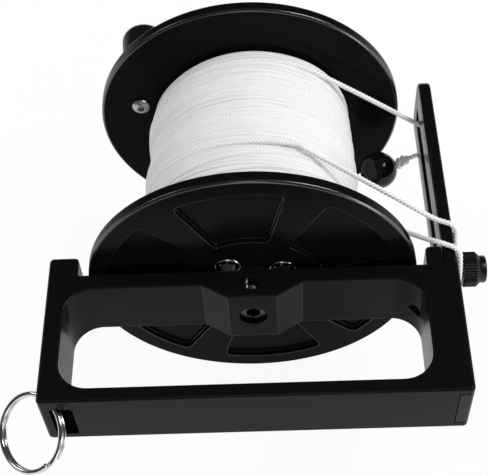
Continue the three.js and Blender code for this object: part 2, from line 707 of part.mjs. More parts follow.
// Lock screw set along X through the right ear and the arm's tail
function lockKnob() {
  const x0 = LOCK_KNOB_X;
  const x1 = x0 + LOCK_KNOB_L;
  const x2 = x1 + LOCK_NOSE_L;
  const rimR = LOCK_KNOB_R - LOCK_KNOB_CHAMFER;
  const boreR = LOCK_R + SEAT_GAP;
  const boreEnd = x0 + LOCK_SCREW_GRIP + SEAT_GAP;
  const body = turnedAlongX([
    [boreR, x0],
    [LOCK_KNOB_R, x0],
    [LOCK_KNOB_R, x1 - LOCK_KNOB_CHAMFER],
    [rimR, x1],
    [LOCK_NOSE_R, x1],
    [LOCK_NOSE_R, x2 - LOCK_NOSE_ROUND],
    [LOCK_NOSE_R - LOCK_NOSE_ROUND, x2],
    [0, x2],
    [0, boreEnd],
    [boreR, boreEnd],
  ], KNURL_FACETS);
  const floor = LOCK_KNOB_R - LOCK_FLUTE_D;
  const half = LOCK_FLUTE_W / 2;
  const flutes = [];
  for (let i = 0; i < LOCK_FLUTES; i += 1) {
    const flute = box(x0 - OVERRUN, x1 - LOCK_KNOB_CHAMFER, -half, half, floor, LOCK_KNOB_R + OVERRUN);
    flutes.push(flute.rotateX((2 * Math.PI * i) / LOCK_FLUTES));
  }
  return cut(body, ...flutes).translate(0, LOCK_Y, LOCK_RISE);
}

function lockScrew() {
  const x0 = LOCK_PAD_X + LOCK_PAD_L + SEAT_GAP;
  const x1 = LOCK_KNOB_X + LOCK_SCREW_GRIP;
  return rodAlongX(LOCK_R, x0, x1, SMALL_FACETS).translate(0, LOCK_Y, LOCK_RISE);
}

function brakePad() {
  const pad = rodAlongX(LOCK_R, LOCK_PAD_X, LOCK_PAD_X + LOCK_PAD_L, SMALL_FACETS);
  return pad.translate(0, LOCK_Y, LOCK_RISE);
}

// A closed tube through rings of points, each ring the same count, capped at both ends
function tubeThrough(rings) {
  const sides = rings[0].length;
  const positions = rings.flat().flatMap((p) => [p.x, p.y, p.z]);
  const index = [];
  for (let i = 0; i + 1 < rings.length; i += 1) {
    for (let j = 0; j < sides; j += 1) {
      const a = i * sides + j;
      const b = i * sides + ((j + 1) % sides);
      index.push(a, b, b + sides, a, b + sides, a + sides);
    }
  }
  const last = (rings.length - 1) * sides;
  for (let j = 1; j + 1 < sides; j += 1) {
    index.push(0, j + 1, j, last, last + j, last + j + 1);
  }
  const geometry = new THREE.BufferGeometry();
  geometry.setAttribute('position', new THREE.Float32BufferAttribute(positions, 3));
  geometry.setIndex(index);
  geometry.computeVertexNormals();
  return geometry;
}

// Least gap between the points of one turn and those of the next
function leastGap(rings, stepsPerTurn) {
  let least = Infinity;
  for (let i = 0; i + stepsPerTurn < rings.length; i += 1) {
    for (const step of [stepsPerTurn - 1, stepsPerTurn, stepsPerTurn + 1]) {
      const next = rings[i + step] ?? rings[i + stepsPerTurn];
      for (const p of rings[i]) {
        for (const q of next) least = Math.min(least, p.distanceTo(q));
      }
    }
  }
  return least;
}

// Split ring: nearly two flat turns of wire round the grip's corner post
function splitRing() {
  const pitch = RING_WIRE_T + RING_TURN_GAP;
  const middleR = RING_OUT_R - RING_WIRE_W / 2;
  const flat = 1 / Math.cos(Math.PI / RING_SIDES);
  const steps = Math.round(RING_STEPS * RING_TURNS);
  const rings = [];
  for (let i = 0; i <= steps; i += 1) {
    const turn = (RING_TURNS * i) / steps;
    const angle = 2 * Math.PI * turn;
    const ring = [];
    for (let j = 0; j < RING_SIDES; j += 1) {
      const a = (2 * Math.PI * (j + 0.5)) / RING_SIDES;
      const r = middleR + (RING_WIRE_W / 2) * flat * Math.cos(a);
      const lift = (turn - RING_TURNS / 2) * pitch + (RING_WIRE_T / 2) * flat * Math.sin(a);
      ring.push(new THREE.Vector3(r * Math.cos(angle), r * Math.sin(angle), lift));
    }
    rings.push(ring.reverse());
  }
  console.log(`split_ring: least gap between turns ${leastGap(rings, RING_STEPS).toFixed(2)} mm`);
  const elevation = radians(RING_ELEVATION);
  const azimuth = radians(RING_AZIMUTH);
  const across = Math.cos(elevation);
  const axis = new THREE.Vector3(across * Math.cos(azimuth), across * Math.sin(azimuth), Math.sin(elevation));
  const tilt = new THREE.Quaternion().setFromUnitVectors(new THREE.Vector3(0, 0, 1), axis);
  return tubeThrough(rings).applyQuaternion(tilt)
    .translate(LEFT_X - RING_SIDE_X, GRIP_Y - RING_FRONT_Y, -RING_DROP);
}

// Radius of the outer layer's middle at a share of the spool's width
function woundRadius(share) {
  return WOUND_R - LINE_D / 2 - WOUND_SHOULDER * Math.abs(2 * share - 1) ** WOUND_FLATNESS;
}

// Wound line: the outer layer is one unbroken tube over a plain core
function lineWinding() {
  const lineR = LINE_D / 2;
  const y0 = NEAR_IN_Y + SEAT_GAP + lineR;
  const y1 = FAR_IN_Y - SEAT_GAP - lineR;
  const steps = WOUND_LOOPS * WOUND_STEPS;
  const rings = [];
  for (let i = 0; i <= steps; i += 1) {
    const share = i / steps;
    const angle = 2 * Math.PI * WOUND_LOOPS * share;
    const ring = [];
    for (let j = 0; j < WOUND_SIDES; j += 1) {
      const a = (2 * Math.PI * j) / WOUND_SIDES;
      const r = woundRadius(share) + lineR * Math.cos(a);
      const y = y0 + (y1 - y0) * share + lineR * Math.sin(a);
      ring.push(new THREE.Vector3(r * Math.cos(angle), y, r * Math.sin(angle)));
    }
    rings.push(ring);
  }
  console.log(`line_winding: least gap between turns ${leastGap(rings, WOUND_STEPS).toFixed(2)} mm`);
  return tubeThrough(rings);
}

function lineCore() {
  const sag = WOUND_R * (1 - Math.cos(Math.PI / WOUND_STEPS));
  const inR = DRUM_R + SEAT_GAP;
  const y0 = NEAR_IN_Y + SEAT_GAP;
  const y1 = FAR_IN_Y - SEAT_GAP;
  const points = [[inR, y0]];
  for (let i = 0; i <= CORE_STATIONS; i += 1) {
    const share = i / CORE_STATIONS;
    const r = woundRadius(share) - LINE_D / 2 - SEAT_GAP - sag;
    points.push([r, y0 + (y1 - y0) * share]);
  }
  points.push([inR, y1]);
  return turned(points, CORE_FACETS);
}

// Free line: a tube through points chosen by hand
function freeLine(route) {
  const points = route.map((p) => new THREE.Vector3(...p));
  const curve = new THREE.CatmullRomCurve3(points, false, 'centripetal');
  const section = new THREE.Shape();
  for (let j = 0; j < FREE_SIDES; j += 1) {
    const angle = (2 * Math.PI * j) / FREE_SIDES;
    const x = (LINE_D / 2) * Math.cos(angle);
    const y = (LINE_D / 2) * Math.sin(angle);
    if (j) section.lineTo(x, y);
    else section.moveTo(x, y);
  }
  section.closePath();
  const steps = Math.round(curve.getLength() / FREE_STEP);
  console.log(`free line: ${curve.getLength().toFixed(1)} mm in ${steps} steps`);
  return new THREE.ExtrudeGeometry(section, { steps, bevelEnabled: false, extrudePath: curve });
}

// From the winding's top, out through the guide's slot, under the arm and back to the knot
const GUIDE_ROUTE = [
  [27.3, 74, 31.5],
  [41, 73.8, 21.4],
  [55, 73.5, 10.8],
  [64, 73.2, 3.9],
  [69.2, 73, 0.4],
  [72.6, 72.9, -2],
  [74.6, 72.8, -5.6],
  [74.9, 72.6, -10.2],
  [74.5, 72.3, -13.8],
  [72, 71.9, -15.3],
  [68.9, 71.1, -15.4],
  [66.9, 70.4, -15.4],
  [65.1, 69.6, -15.4],
];

// From the winding's top over the arm, down round the lock screw, back over the arm and under the winding
const LOCK_ROUTE = [
  [17.9, 33, 38.6],
  [30.2, 28.6, 32.8],
  [42.6, 24, 27],
  [55, 19.5, 21.1],
  [64, 16.3, 16.6],
  [67.8, 15, 15.1],
  [70.4, 14.1, 14.8],
  [73, 13.2, 14.6],
  [74.8, 12.4, 12.9],
  [75, 11, 9.8],
  [75, 9.2, 7],
  [75, 7.8, 3.8],
  [75, 6.6, 0.6],
  [75, 4.4, -2],
  [75, 1.4, -3],
  [75, -1.6, -2.2],
  [75, -3.4, 0.4],
  [75, -3.4, 3.8],
  [75, -2.4, 7.2],
  [74.9, -0.4, 10.6],
  [74.7, 1.6, 13.3],
  [72.9, 2.9, 14.7],
  [70.2, 4, 14.8],
  [67.3, 5.6, 14.4],
  [64, 9.8, 10.6],
  [56.2, 20.9, 1.2],
  [44.6, 37.4, -12.7],
  [32.9, 54, -26.8],
];

// A place beyond the guide line's end, on its last straight stretch
function beyondLineEnd(distance) {
  const [before, end] = GUIDE_ROUTE.slice(-2).map((p) => new THREE.Vector3(...p));
  const along = end.clone().sub(before).normalize();
  return { place: end.addScaledVector(along, distance), along };
}

// Turns a shape laid along Y to the line's end direction and sets it beyond the end
function onLineEnd(geometry, distance) {
  const { place, along } = beyondLineEnd(distance);
  const turnTo = new THREE.Quaternion().setFromUnitVectors(new THREE.Vector3(0, 1, 0), along);
  return geometry.applyQuaternion(turnTo).translate(place.x, place.y, place.z);
}

// Stopper knot: the line's wraps drawn up tight
function stopperKnot() {
  const steps = KNOT_WRAPS * 4;
  const points = [[0, -KNOT_L / 2]];
  for (let i = 0; i <= steps; i += 1) {
    const share = i / steps;
    const bulge = Math.abs(Math.sin(Math.PI * KNOT_WRAPS * share));
    points.push([KNOT_NECK_R + (KNOT_R - KNOT_NECK_R) * bulge, KNOT_L * (share - 1 / 2)]);
  }
  points.push([0, KNOT_L / 2]);
  return onLineEnd(turned(points, SMALL_FACETS), SEAT_GAP + KNOT_L / 2);
}

function endBall() {
  const hole = rod(BALL_BORE_R, -BALL_R - OVERRUN, BALL_R + OVERRUN, SMALL_FACETS);
  const ball = cut(new THREE.SphereGeometry(BALL_R, ROUND_FACETS, ROUND_FACETS / 2), hole);
  return onLineEnd(ball, SEAT_GAP + KNOT_L + SEAT_GAP + BALL_R);
}

// Assembly
const frame = new THREE.Group();
frame.add(
  piece('yoke_frame', yokeFrame(), anodised),
  piece('axle', axle(), stainless),
  piece('axle_set_screw', axleSetScrew(), stainless),
  piece('thrust_washer', thrustWasher(), acetal),
  piece('end_washer', endWasher(), stainless),
  piece('end_nut', endNut(), stainless),
  piece('guide_arm', guideArm(), anodised),
  piece('guide_screw_upper', guideScrew(GUIDE_SCREW_Z), stainless),
  piece('guide_screw_lower', guideScrew(-GUIDE_SCREW_Z), stainless),
  piece('corner_plug', cornerPlug(), blackPlastic),
);

const spool = new THREE.Group();
spool.add(
  piece('near_flange', nearFlange(), anodised),
  piece('far_flange', farFlange(), anodised),
  piece('spool_drum', spoolDrum(), anodised),
  piece('near_bush', bush(), acetal),
  piece('far_bush', onFarSide(bush()), acetal),
  piece('knob_post', knobPost(), stainless),
  piece('knob_screw', knobScrew(), stainless),
  piece('knob_washer', knobWasher(), stainless),
  piece('line_core', lineCore(), lineWhite),
  piece('line_winding', lineWinding(), lineWhite),
);
screwPlaces().forEach((place, i) => {
  spool.add(piece(`flange_screw_near_${i + 1}`, hubScrew(place), stainless));
  spool.add(piece(`flange_screw_far_${i + 1}`, onFarSide(hubScrew(place)), stainless));
});

const controls = new THREE.Group();
controls.add(
  piece('winding_knob', windingKnob(), blackPlastic),
  piece('brake_pad', brakePad(), acetal),
  piece('lock_screw', lockScrew(), stainless),
  piece('lock_knob', lockKnob(), anodised),
  piece('split_ring', splitRing(), polished),
);

const line = new THREE.Group();
line.add(
  piece('line_to_guide', freeLine(GUIDE_ROUTE), lineWhite),
  piece('line_bight', freeLine(LOCK_ROUTE), lineWhite),
  piece('stopper_knot', stopperKnot(), lineWhite),
  piece('end_ball', endBall(), glossBlack),
);

// The origin goes to the bottom centre of the box round everything but the free line
const reel = new THREE.Group();
reel.add(frame, spool, controls);
const bounds = new THREE.Box3().setFromObject(reel);
const middle = bounds.getCenter(new THREE.Vector3());
reel.add(line);
reel.position.set(-middle.x, -middle.y, -bounds.min.z);

export default reel;
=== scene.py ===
import logging
import math
from dataclasses import dataclass
from enum import Enum
from typing import Callable, Iterable, Protocol, Sequence

import bpy
import numpy as np
from mathutils import Matrix, Vector


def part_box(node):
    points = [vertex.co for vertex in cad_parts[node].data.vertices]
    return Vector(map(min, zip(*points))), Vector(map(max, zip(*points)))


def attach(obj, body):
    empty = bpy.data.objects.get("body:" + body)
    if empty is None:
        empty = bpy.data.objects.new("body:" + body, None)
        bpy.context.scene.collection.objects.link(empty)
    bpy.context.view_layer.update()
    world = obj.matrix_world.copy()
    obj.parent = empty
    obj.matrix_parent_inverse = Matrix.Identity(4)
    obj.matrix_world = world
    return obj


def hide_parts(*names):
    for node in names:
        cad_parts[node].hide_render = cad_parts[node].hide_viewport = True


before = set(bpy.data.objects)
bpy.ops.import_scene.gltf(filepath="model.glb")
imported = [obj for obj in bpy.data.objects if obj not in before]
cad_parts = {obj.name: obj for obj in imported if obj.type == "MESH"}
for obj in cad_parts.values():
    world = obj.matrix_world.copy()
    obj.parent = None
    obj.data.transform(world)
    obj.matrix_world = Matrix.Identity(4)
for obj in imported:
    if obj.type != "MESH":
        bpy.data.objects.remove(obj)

LOG = logging.getLogger("dive_reel")
MM = 0.001
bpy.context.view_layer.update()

# How far off a place may lie and still be picked, in millimetres
NEAR = 0.1
FLUSH = 0.01


class Axis(Enum):
    """A direction of the reel: along the grip, along the axle, or up."""

    X = (1.0, 0.0, 0.0)
    Y = (0.0, 1.0, 0.0)
    Z = (0.0, 0.0, 1.0)


class Joinery(Enum):
    """How one solid is worked with another."""

    CUT = "DIFFERENCE"
    FUSE = "UNION"


class Body(Enum):
    """The reel's bodies that pieces ride on."""

    FRAME = "frame"
    SPOOL = "spool"
    KNOB = "winding_knob"
    LOCK = "lock_knob"
    RING = "split_ring"


class Layout:
    """The reel's own coordinates, and the places in them that several pieces share.

    They are millimetres, with the axle along Y and the near flange's outer face at Y = 0.
    """

    # The lock screw's axis, and the radius of its holes
    LOCK_Y = 1.65
    LOCK_Z = 2.2
    LOCK_HOLE = 2.3
    # The winding knob's axis and its bearing from +X
    KNOB_X = -43.216
    KNOB_Z = 11.016
    KNOB_BEARING = 165.7
    # The circle of the hub screws, and the bearing of the first
    SCREW_CIRCLE = 13.9
    FIRST_SCREW = 38

    def __init__(self) -> None:
        """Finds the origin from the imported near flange."""
        low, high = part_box("near_flange")
        self.origin = Vector(((low.x + high.x) / 2, low.y, (low.z + high.z) / 2))

    def at(self, x: float, y: float, z: float) -> Vector:
        """Turns a place on the reel into scene metres.

        Args:
            x: Millimetres along the grip.
            y: Millimetres along the axle.
            z: Millimetres above the axle.

        Returns:
            The place in metres.
        """
        return self.origin + Vector((x, y, z)) * MM

    def back(self, place: Vector) -> Vector:
        """Turns a place in scene metres into reel millimetres."""
        return (place - self.origin) / MM

    def carry(self, turn: Matrix, centre: Sequence[float] = (0, 0, 0)) -> Matrix:
        """Works out the move that turns a mesh about the reel's origin and then sets it at a centre.

        Args:
            turn: The turn or shift about the origin.
            centre: Where the origin goes, in reel millimetres.

        Returns:
            The move in scene metres.
        """
        return Matrix.Translation(self.at(*centre)) @ turn @ Matrix.Translation(-self.origin)

    def screw_places(self) -> list[tuple[float, float]]:
        """Lists the X and Z of the four hub screws."""
        bearings = [math.radians(self.FIRST_SCREW + 90 * n) for n in range(4)]
        return [(self.SCREW_CIRCLE * math.cos(b), self.SCREW_CIRCLE * math.sin(b)) for b in bearings]


REEL = Layout()
HALF_TURN = Matrix.Rotation(math.pi, 4, "Z")


class Bench:
    """The bench tools: primitives, cuts, turned shapes and rounded edges."""

    # Points closer than this, in metres, are one point
    TOUCH = 1e-6

    @staticmethod
    def clear() -> None:
        """Leaves edit mode and selects nothing."""
        if bpy.context.object and bpy.context.object.mode != "OBJECT":
            bpy.ops.object.mode_set(mode="OBJECT")
        for obj in bpy.context.selected_objects:
            obj.select_set(False)

    @staticmethod
    def take(obj: bpy.types.Object) -> bpy.types.Object:
        """Selects one object alone and makes it active.

        Args:
            obj: The object to work on.

        Returns:
            The same object.
        """
        Bench.clear()
        obj.select_set(True)
        bpy.context.view_layer.objects.active = obj
        return obj

    @staticmethod
    def place(name: str) -> bpy.types.Object:
        """Names the primitive just added and puts its place into its mesh.

        Args:
            name: The new object's name.

        Returns:
            The object, at the origin.
        """
        obj = bpy.context.object
        obj.name = name
        bpy.ops.object.transform_apply(location=True, rotation=True, scale=True)
        return obj

    @staticmethod
    def bring(name: str, data: bpy.types.ID) -> bpy.types.Object:
        """Makes an object of finished data and puts it in the scene.

        Args:
            name: The new object's name.
            data: Its mesh, lamp or camera.

        Returns:
            The object.
        """
        obj = bpy.data.objects.new(name, data)
        bpy.context.scene.collection.objects.link(obj)
        return obj

    @staticmethod
    def block(name: str, x: Sequence[float], y: Sequence[float], z: Sequence[float]) -> bpy.types.Object:
        """Makes a box between pairs of limits in reel millimetres.

        Args:
            name: The new object's name.
            x: Low and high limits along X.
            y: Low and high limits along Y.
            z: Low and high limits along Z.

        Returns:
            The box.
        """
        Bench.clear()
        low, high = REEL.at(x[0], y[0], z[0]), REEL.at(x[1], y[1], z[1])
        bpy.ops.mesh.primitive_cube_add(size=1, location=(low + high) / 2, scale=high - low)
        return Bench.place(name)

    @staticmethod
    def rod(
        name: str, axis: Axis, radius: float, start: Sequence[float], length: float, sides: int = 48
    ) -> bpy.types.Object:
        """Makes a round rod from a start point along an axis.

        Args:
            name: The new object's name.
            axis: The rod's direction.
            radius: Radius in millimetres.
            start: Centre of its first end, in reel millimetres.
            length: Length in millimetres.
            sides: Facets round it.

        Returns:
            The rod.
        """
        Bench.clear()
        way = Vector(axis.value)
        middle = REEL.at(*start) + way * (length / 2 * MM)
        turn = way.to_track_quat("Z", "Y").to_euler()
        bpy.ops.mesh.primitive_cylinder_add(
            vertices=sides, radius=radius * MM, depth=length * MM, location=middle, rotation=turn
        )
        return Bench.place(name)

    @staticmethod
    def lathe(
        name: str,
        axis: Axis,
        centre: Sequence[float],
        profile: Sequence[Sequence[float]],
        steps: int = 96,
    ) -> bpy.types.Object:
        """Draws a profile point by point with extrusions and spins it about an axis.

        Args:
            name: The new object's name.
            axis: The axis that it turns about.
            centre: A point on that axis, in reel millimetres.
            profile: Points as radius and distance along the axis, in millimetres.
            steps: Steps of the spin.

        Returns:
            The turned piece.
        """
        out = Vector((0, 0, 1)) if axis is Axis.X else Vector((1, 0, 0))
        along = Vector(axis.value)
        base = REEL.at(*centre)
        points = [base + (out * r + along * h) * MM for r, h in profile]
        Bench.clear()
        bpy.ops.mesh.primitive_plane_add(size=MM, location=points[0])
        obj = Bench.place(name)
        bpy.ops.object.mode_set(mode="EDIT")
        bpy.ops.mesh.select_mode(type="VERT")
        bpy.ops.mesh.select_all(action="SELECT")
        bpy.ops.mesh.merge(type="CENTER")
        for before, after in zip(points, points[1:]):
            bpy.ops.mesh.extrude_vertices_move(TRANSFORM_OT_translate={"value": after - before})
        bpy.ops.mesh.select_all(action="SELECT")
        bpy.ops.mesh.remove_doubles(threshold=Bench.TOUCH)
        bpy.ops.mesh.select_all(action="SELECT")
        bpy.ops.mesh.spin(steps=steps, angle=math.radians(360), center=base, axis=along)
        bpy.ops.mesh.select_all(action="SELECT")
        bpy.ops.mesh.remove_doubles(threshold=Bench.TOUCH)
        bpy.ops.mesh.normals_make_consistent(inside=False)
        bpy.ops.object.mode_set(mode="OBJECT")
        return obj

    @staticmethod
    def work(target: bpy.types.Object, how: Joinery, *tools: bpy.types.Object) -> bpy.types.Object:
        """Cuts or fuses tools into a target, one after another, and clears them away.

        Args:
            target: The piece that stays.
            how: Whether the tools are cut away or fused.
            tools: The pieces that are used up.

        Returns:
            The target.
        """
        for tool in tools:
            Bench.take(target)
            modifier = target.modifiers.new("joinery", "BOOLEAN")
            modifier.operation = how.value
            modifier.solver = "EXACT"
            modifier.object = tool
            bpy.ops.object.modifier_apply(modifier=modifier.name)
            bpy.data.objects.remove(tool)
        return target

    @staticmethod
    def pick_edges(obj: bpy.types.Object, test: Callable[[Vector, Vector], bool]) -> None:
        """Selects the edges whose two ends, in reel millimetres, pass a test.

        Args:
            obj: The object to select on.
            test: Takes an edge's two ends and says whether it is picked.
        """
        Bench.take(obj)
        mesh = obj.data
        places = [REEL.back(v.co) for v in mesh.vertices]
        flags = [test(places[e.vertices[0]], places[e.vertices[1]]) for e in mesh.edges]
        bpy.context.tool_settings.mesh_select_mode = (False, True, False)
        mesh.polygons.foreach_set("select", [False] * len(mesh.polygons))
        mesh.vertices.foreach_set("select", [False] * len(mesh.vertices))
        mesh.edges.foreach_set("select", flags)
        bpy.ops.object.mode_set(mode="EDIT")

    @staticmethod
    def two_finishes(obj: bpy.types.Object) -> None:
        """Gives a piece a second material slot, for its broken edges."""
        while len(obj.data.materials) < 2:
            obj.data.materials.append(None)

    @staticmethod
    def round_edges(
        obj: bpy.types.Object,
        width: float,
        segments: int,
        test: Callable[[Vector, Vector], bool],
        bright: bool = False,
    ) -> bpy.types.Object:
        """Bevels picked edges.

        Args:
            obj: The object to work on.
            width: Width in millimetres.
            segments: One for a chamfer, more for a round.
            test: Takes an edge's two ends in reel millimetres.
            bright: Whether the bevel gets the finish of broken edges, which on anodised parts is lighter,
                painted highlight.

        Returns:
            The same object.
        """
        if bright:
            Bench.two_finishes(obj)
        Bench.pick_edges(obj, test)
        slot = 1 if bright else -1
        bpy.ops.mesh.bevel(
            offset=width * MM, segments=segments, affect="EDGES", clamp_overlap=False, material=slot
        )
        bpy.ops.object.mode_set(mode="OBJECT")
        return obj

    @staticmethod
    def soften(
        obj: bpy.types.Object, width: float, segments: int = 2, angle: float = 32.0
    ) -> bpy.types.Object:
        """Breaks every sharp edge a little and shades the rest smooth.

        Args:
            obj: The object to work on.
            width: Width of the broken edge in millimetres, or zero to shade alone.
            segments: Facets across it.
            angle: Edges sharper than this, in degrees, are broken.

        Returns:
            The same object.
        """
        Bench.take(obj)
        if width > 0:
            Bench.two_finishes(obj)
            modifier = obj.modifiers.new("soften", "BEVEL")
            modifier.material = 1
            modifier.width = width * MM
            modifier.segments = segments
            modifier.limit_method = "ANGLE"
            modifier.angle_limit = math.radians(angle)
            modifier.use_clamp_overlap = False
            bpy.ops.object.modifier_apply(modifier=modifier.name)
        bpy.ops.object.shade_smooth_by_angle(angle=math.radians(angle))
        level = obj.modifiers.new("level", "WEIGHTED_NORMAL")
        level.keep_sharp = True
        bpy.ops.object.modifier_apply(modifier=level.name)
        return obj


class Graph:
    """A material's node tree with short ways to add what the finishes need."""

    def __init__(self, name: str) -> None:
        """Starts a material with a Principled shader.

        Args:
            name: The material's name.
        """
        self.material = bpy.data.materials.new(name)
        self.material.use_nodes = True
        self.tree = self.material.node_tree
        self.shader = next(n for n in self.tree.nodes if n.type == "BSDF_PRINCIPLED")
        self.coords = self.tree.nodes.new("ShaderNodeTexCoord")

    def set(self, **values: object) -> None:
        """Sets the shader's own sockets by name, with underscores for spaces."""
        for key, value in values.items():
            self.shader.inputs[key.replace("_", " ")].default_value = value

    def noise(
        self, scale: float, detail: float = 2.0, stretch: Sequence[float] = (1, 1, 1)
    ) -> bpy.types.NodeSocket:
        """Adds noise on Object coordinates.

        Args:
            scale: Cells per metre.
            detail: Octaves.
            stretch: How much each axis is scaled first.

        Returns:
            The noise's value.
        """
        mapping = self.tree.nodes.new("ShaderNodeMapping")
        mapping.inputs["Scale"].default_value = stretch
        self.tree.links.new(self.coords.outputs["Object"], mapping.inputs["Vector"])
        noise = self.tree.nodes.new("ShaderNodeTexNoise")
        noise.inputs["Scale"].default_value = scale
        noise.inputs["Detail"].default_value = detail
        self.tree.links.new(mapping.outputs["Vector"], noise.inputs["Vector"])
        return noise.outputs["Fac"]

    def math(
        self, operation: str, a: bpy.types.NodeSocket | float, b: bpy.types.NodeSocket | float = 0.0
    ) -> bpy.types.NodeSocket:
        """Adds a Math node.

        Args:
            operation: The node's operation.
            a: A socket or a number.
            b: A socket or a number.

        Returns:
            The result's socket.
        """
        node = self.tree.nodes.new("ShaderNodeMath")
        node.operation = operation
        for slot, value in zip(node.inputs, (a, b)):
            if isinstance(value, bpy.types.NodeSocket):
                self.tree.links.new(value, slot)
            else:
                slot.default_value = value
        return node.outputs[0]

    def span(
        self, value: bpy.types.NodeSocket, low: float, high: float, start: float = 0.0, end: float = 1.0
    ) -> bpy.types.NodeSocket:
        """Maps a value from one span to another.

        Args:
            value: The socket to map.
            low: Result at the start.
            high: Result at the end.
            start: Start of the value's span.
            end: End of the value's span.

        Returns:
            The mapped socket.
        """
        node = self.tree.nodes.new("ShaderNodeMapRange")
        for name, number in (("From Min", start), ("From Max", end), ("To Min", low), ("To Max", high)):
            node.inputs[name].default_value = number
        self.tree.links.new(value, node.inputs["Value"])
        return node.outputs["Result"]

    def blend(
        self, value: bpy.types.NodeSocket, dark: Sequence[float], light: Sequence[float]
    ) -> bpy.types.NodeSocket:
        """Blends two colours by a value.

        Args:
            value: From zero to one.
            dark: Colour at zero.
            light: Colour at one.

        Returns:
            The colour's socket.
        """
        ramp = self.tree.nodes.new("ShaderNodeValToRGB")
        ramp.color_ramp.elements[0].color = (*dark, 1)
        ramp.color_ramp.elements[1].color = (*light, 1)
        self.tree.links.new(value, ramp.inputs["Fac"])
        return ramp.outputs["Color"]

    def feed(self, socket: bpy.types.NodeSocket, name: str) -> None:
        """Links a socket to one of the shader's inputs."""
        self.tree.links.new(socket, self.shader.inputs[name])

    def bump(self, height: bpy.types.NodeSocket, strength: float, depth: float) -> None:
        """Adds relief to the surface.

        Args:
            height: The relief from zero to one.
            strength: How strongly it shows.
            depth: Its depth in millimetres.
        """
        node = self.tree.nodes.new("ShaderNodeBump")
        node.inputs["Strength"].default_value = strength
        node.inputs["Distance"].default_value = depth * MM
        self.tree.links.new(height, node.inputs["Height"])
        self.feed(node.outputs["Normal"], "Normal")


class Finish(Protocol):
    """What every finish has: its material's name, the record's slot and a way to build it."""

    name: str
    slot: str

    def material(self) -> bpy.types.Material:
        """Builds the material."""


@dataclass(frozen=True)
class Anodised:
    """Black anodised aluminium: satin, with the faint grain of the blasted metal under it."""

    name: str = "anodised_black"
    slot: str = "anodised"
    dark: float = 0.003
    light: float = 0.0052
    smooth: float = 0.15
    rough: float = 0.25
    bending: float = 1.155
    # IOR of the broken edges, raised above the faces' so they reflect the lamps as light lines
    worn: float = 1.25

    @classmethod
    def turned(cls) -> "Anodised":
        """Gives the finish of the turned flanges: the same black a little darker, painted shade for the dark
        reflections on them, with edges that catch the light.

        Returns:
            The finish.
        """
        return cls(
            # Painted shade: a darker colour than the frame's black
            name="anodised_turned", dark=0.0026, light=0.0046,
            smooth=0.18, rough=0.28, bending=1.12, worn=1.9,
        )

    @classmethod
    def knurled(cls) -> "Anodised":
        """Gives the finish of the lock knob, more reflective than the frame's so its teeth catch the light.
        """
        return cls(name="anodised_knurled", smooth=0.22, rough=0.32, bending=1.4, worn=1.8)

    def edge(self) -> "Anodised":
        """Gives the finish of its broken edges: a lighter colour than the faces, painted highlight, and a
        stronger reflection, so they show as light lines.

        Returns:
            The finish.
        """
        # Painted highlight: the broken edges get a lighter colour than the faces, and a higher IOR that
        # reflects the lamps more
        return Anodised(
            name=f"{self.name}_edge", dark=0.004, light=0.008,
            smooth=0.2, rough=0.3, bending=self.worn,
        )

    def material(self) -> bpy.types.Material:
        """Builds the material.

        Returns:
            The material.
        """
        graph = Graph(self.name)
        grain = graph.noise(1700, 3)
        patches = graph.noise(38, 2)
        tone = graph.math("ADD", graph.math("MULTIPLY", grain, 0.6), graph.math("MULTIPLY", patches, 0.4))
        graph.feed(graph.blend(tone, (self.dark,) * 3, (self.light,) * 3), "Base Color")
        graph.feed(graph.span(tone, self.smooth, self.rough, 0.3, 0.7), "Roughness")
        graph.bump(grain, 0.25, 0.015)
        graph.set(Metallic=0.0, IOR=self.bending)
        return graph.material


@dataclass(frozen=True)
class Moulded:
    """Black moulded plastic: satin, with a fine spark texture."""

    name: str = "moulded_black"
    slot: str = "black_plastic"

    def material(self) -> bpy.types.Material:
        """Builds the material.

        Returns:
            The material.
        """
        graph = Graph(self.name)
        grain = graph.noise(2600, 2)
        graph.feed(graph.blend(grain, (0.0035,) * 3, (0.007,) * 3), "Base Color")
        graph.feed(graph.span(graph.noise(60, 2), 0.3, 0.42, 0.3, 0.7), "Roughness")
        graph.bump(grain, 0.4, 0.02)
        graph.set(IOR=1.25)
        return graph.material


@dataclass(frozen=True)
class Steel:
    """Stainless steel, machined: bright, with fine turning marks."""

    name: str = "stainless_machined"
    slot: str = "stainless"
    shade: float = 0.6
    smooth: float = 0.2
    rough: float = 0.36

    @classmethod
    def dark_axle(cls) -> "Steel":
        """Gives the finish of the axle: steel much darker than the rest, so its end shows dark inside the
        boss's hole.
        """
        return cls(name="steel_dark_axle", shade=0.1, smooth=0.25, rough=0.4)

    @classmethod
    def bright(cls) -> "Steel":
        """Gives the finish of the set screw: a brighter copy of the same steel, painted highlight so it shows
        bright down in its hole.
        """
        return cls(name="stainless_bright", shade=0.9, smooth=0.1, rough=0.2)

    @classmethod
    def screws(cls) -> "Steel":
        """Gives the finish of the hub screws: a brighter copy of the same steel, painted highlight on their
        heads' rims.
        """
        return cls(name="stainless_screws", shade=0.8, smooth=0.14, rough=0.24)

    @classmethod
    def button(cls) -> "Steel":
        """Gives the finish of the knob's button-head screw: rougher, and a darker copy of the same steel,
        partly a duller surface and partly painted shade.
        """
        return cls(name="stainless_button", shade=0.5, smooth=0.3, rough=0.4)

    def material(self) -> bpy.types.Material:
        """Builds the material.

        Returns:
            The material.
        """
        graph = Graph(self.name)
        marks = graph.noise(1400, 3, (1, 6, 1))
        tone = (self.shade * 0.86, self.shade * 0.85, self.shade * 0.84)
        graph.feed(graph.blend(marks, tone, (self.shade * 1.08,) * 3), "Base Color")
        graph.feed(graph.span(marks, self.smooth, self.rough, 0.3, 0.7), "Roughness")
        graph.bump(marks, 0.15, 0.01)
        graph.set(Metallic=1.0)
        return graph.material


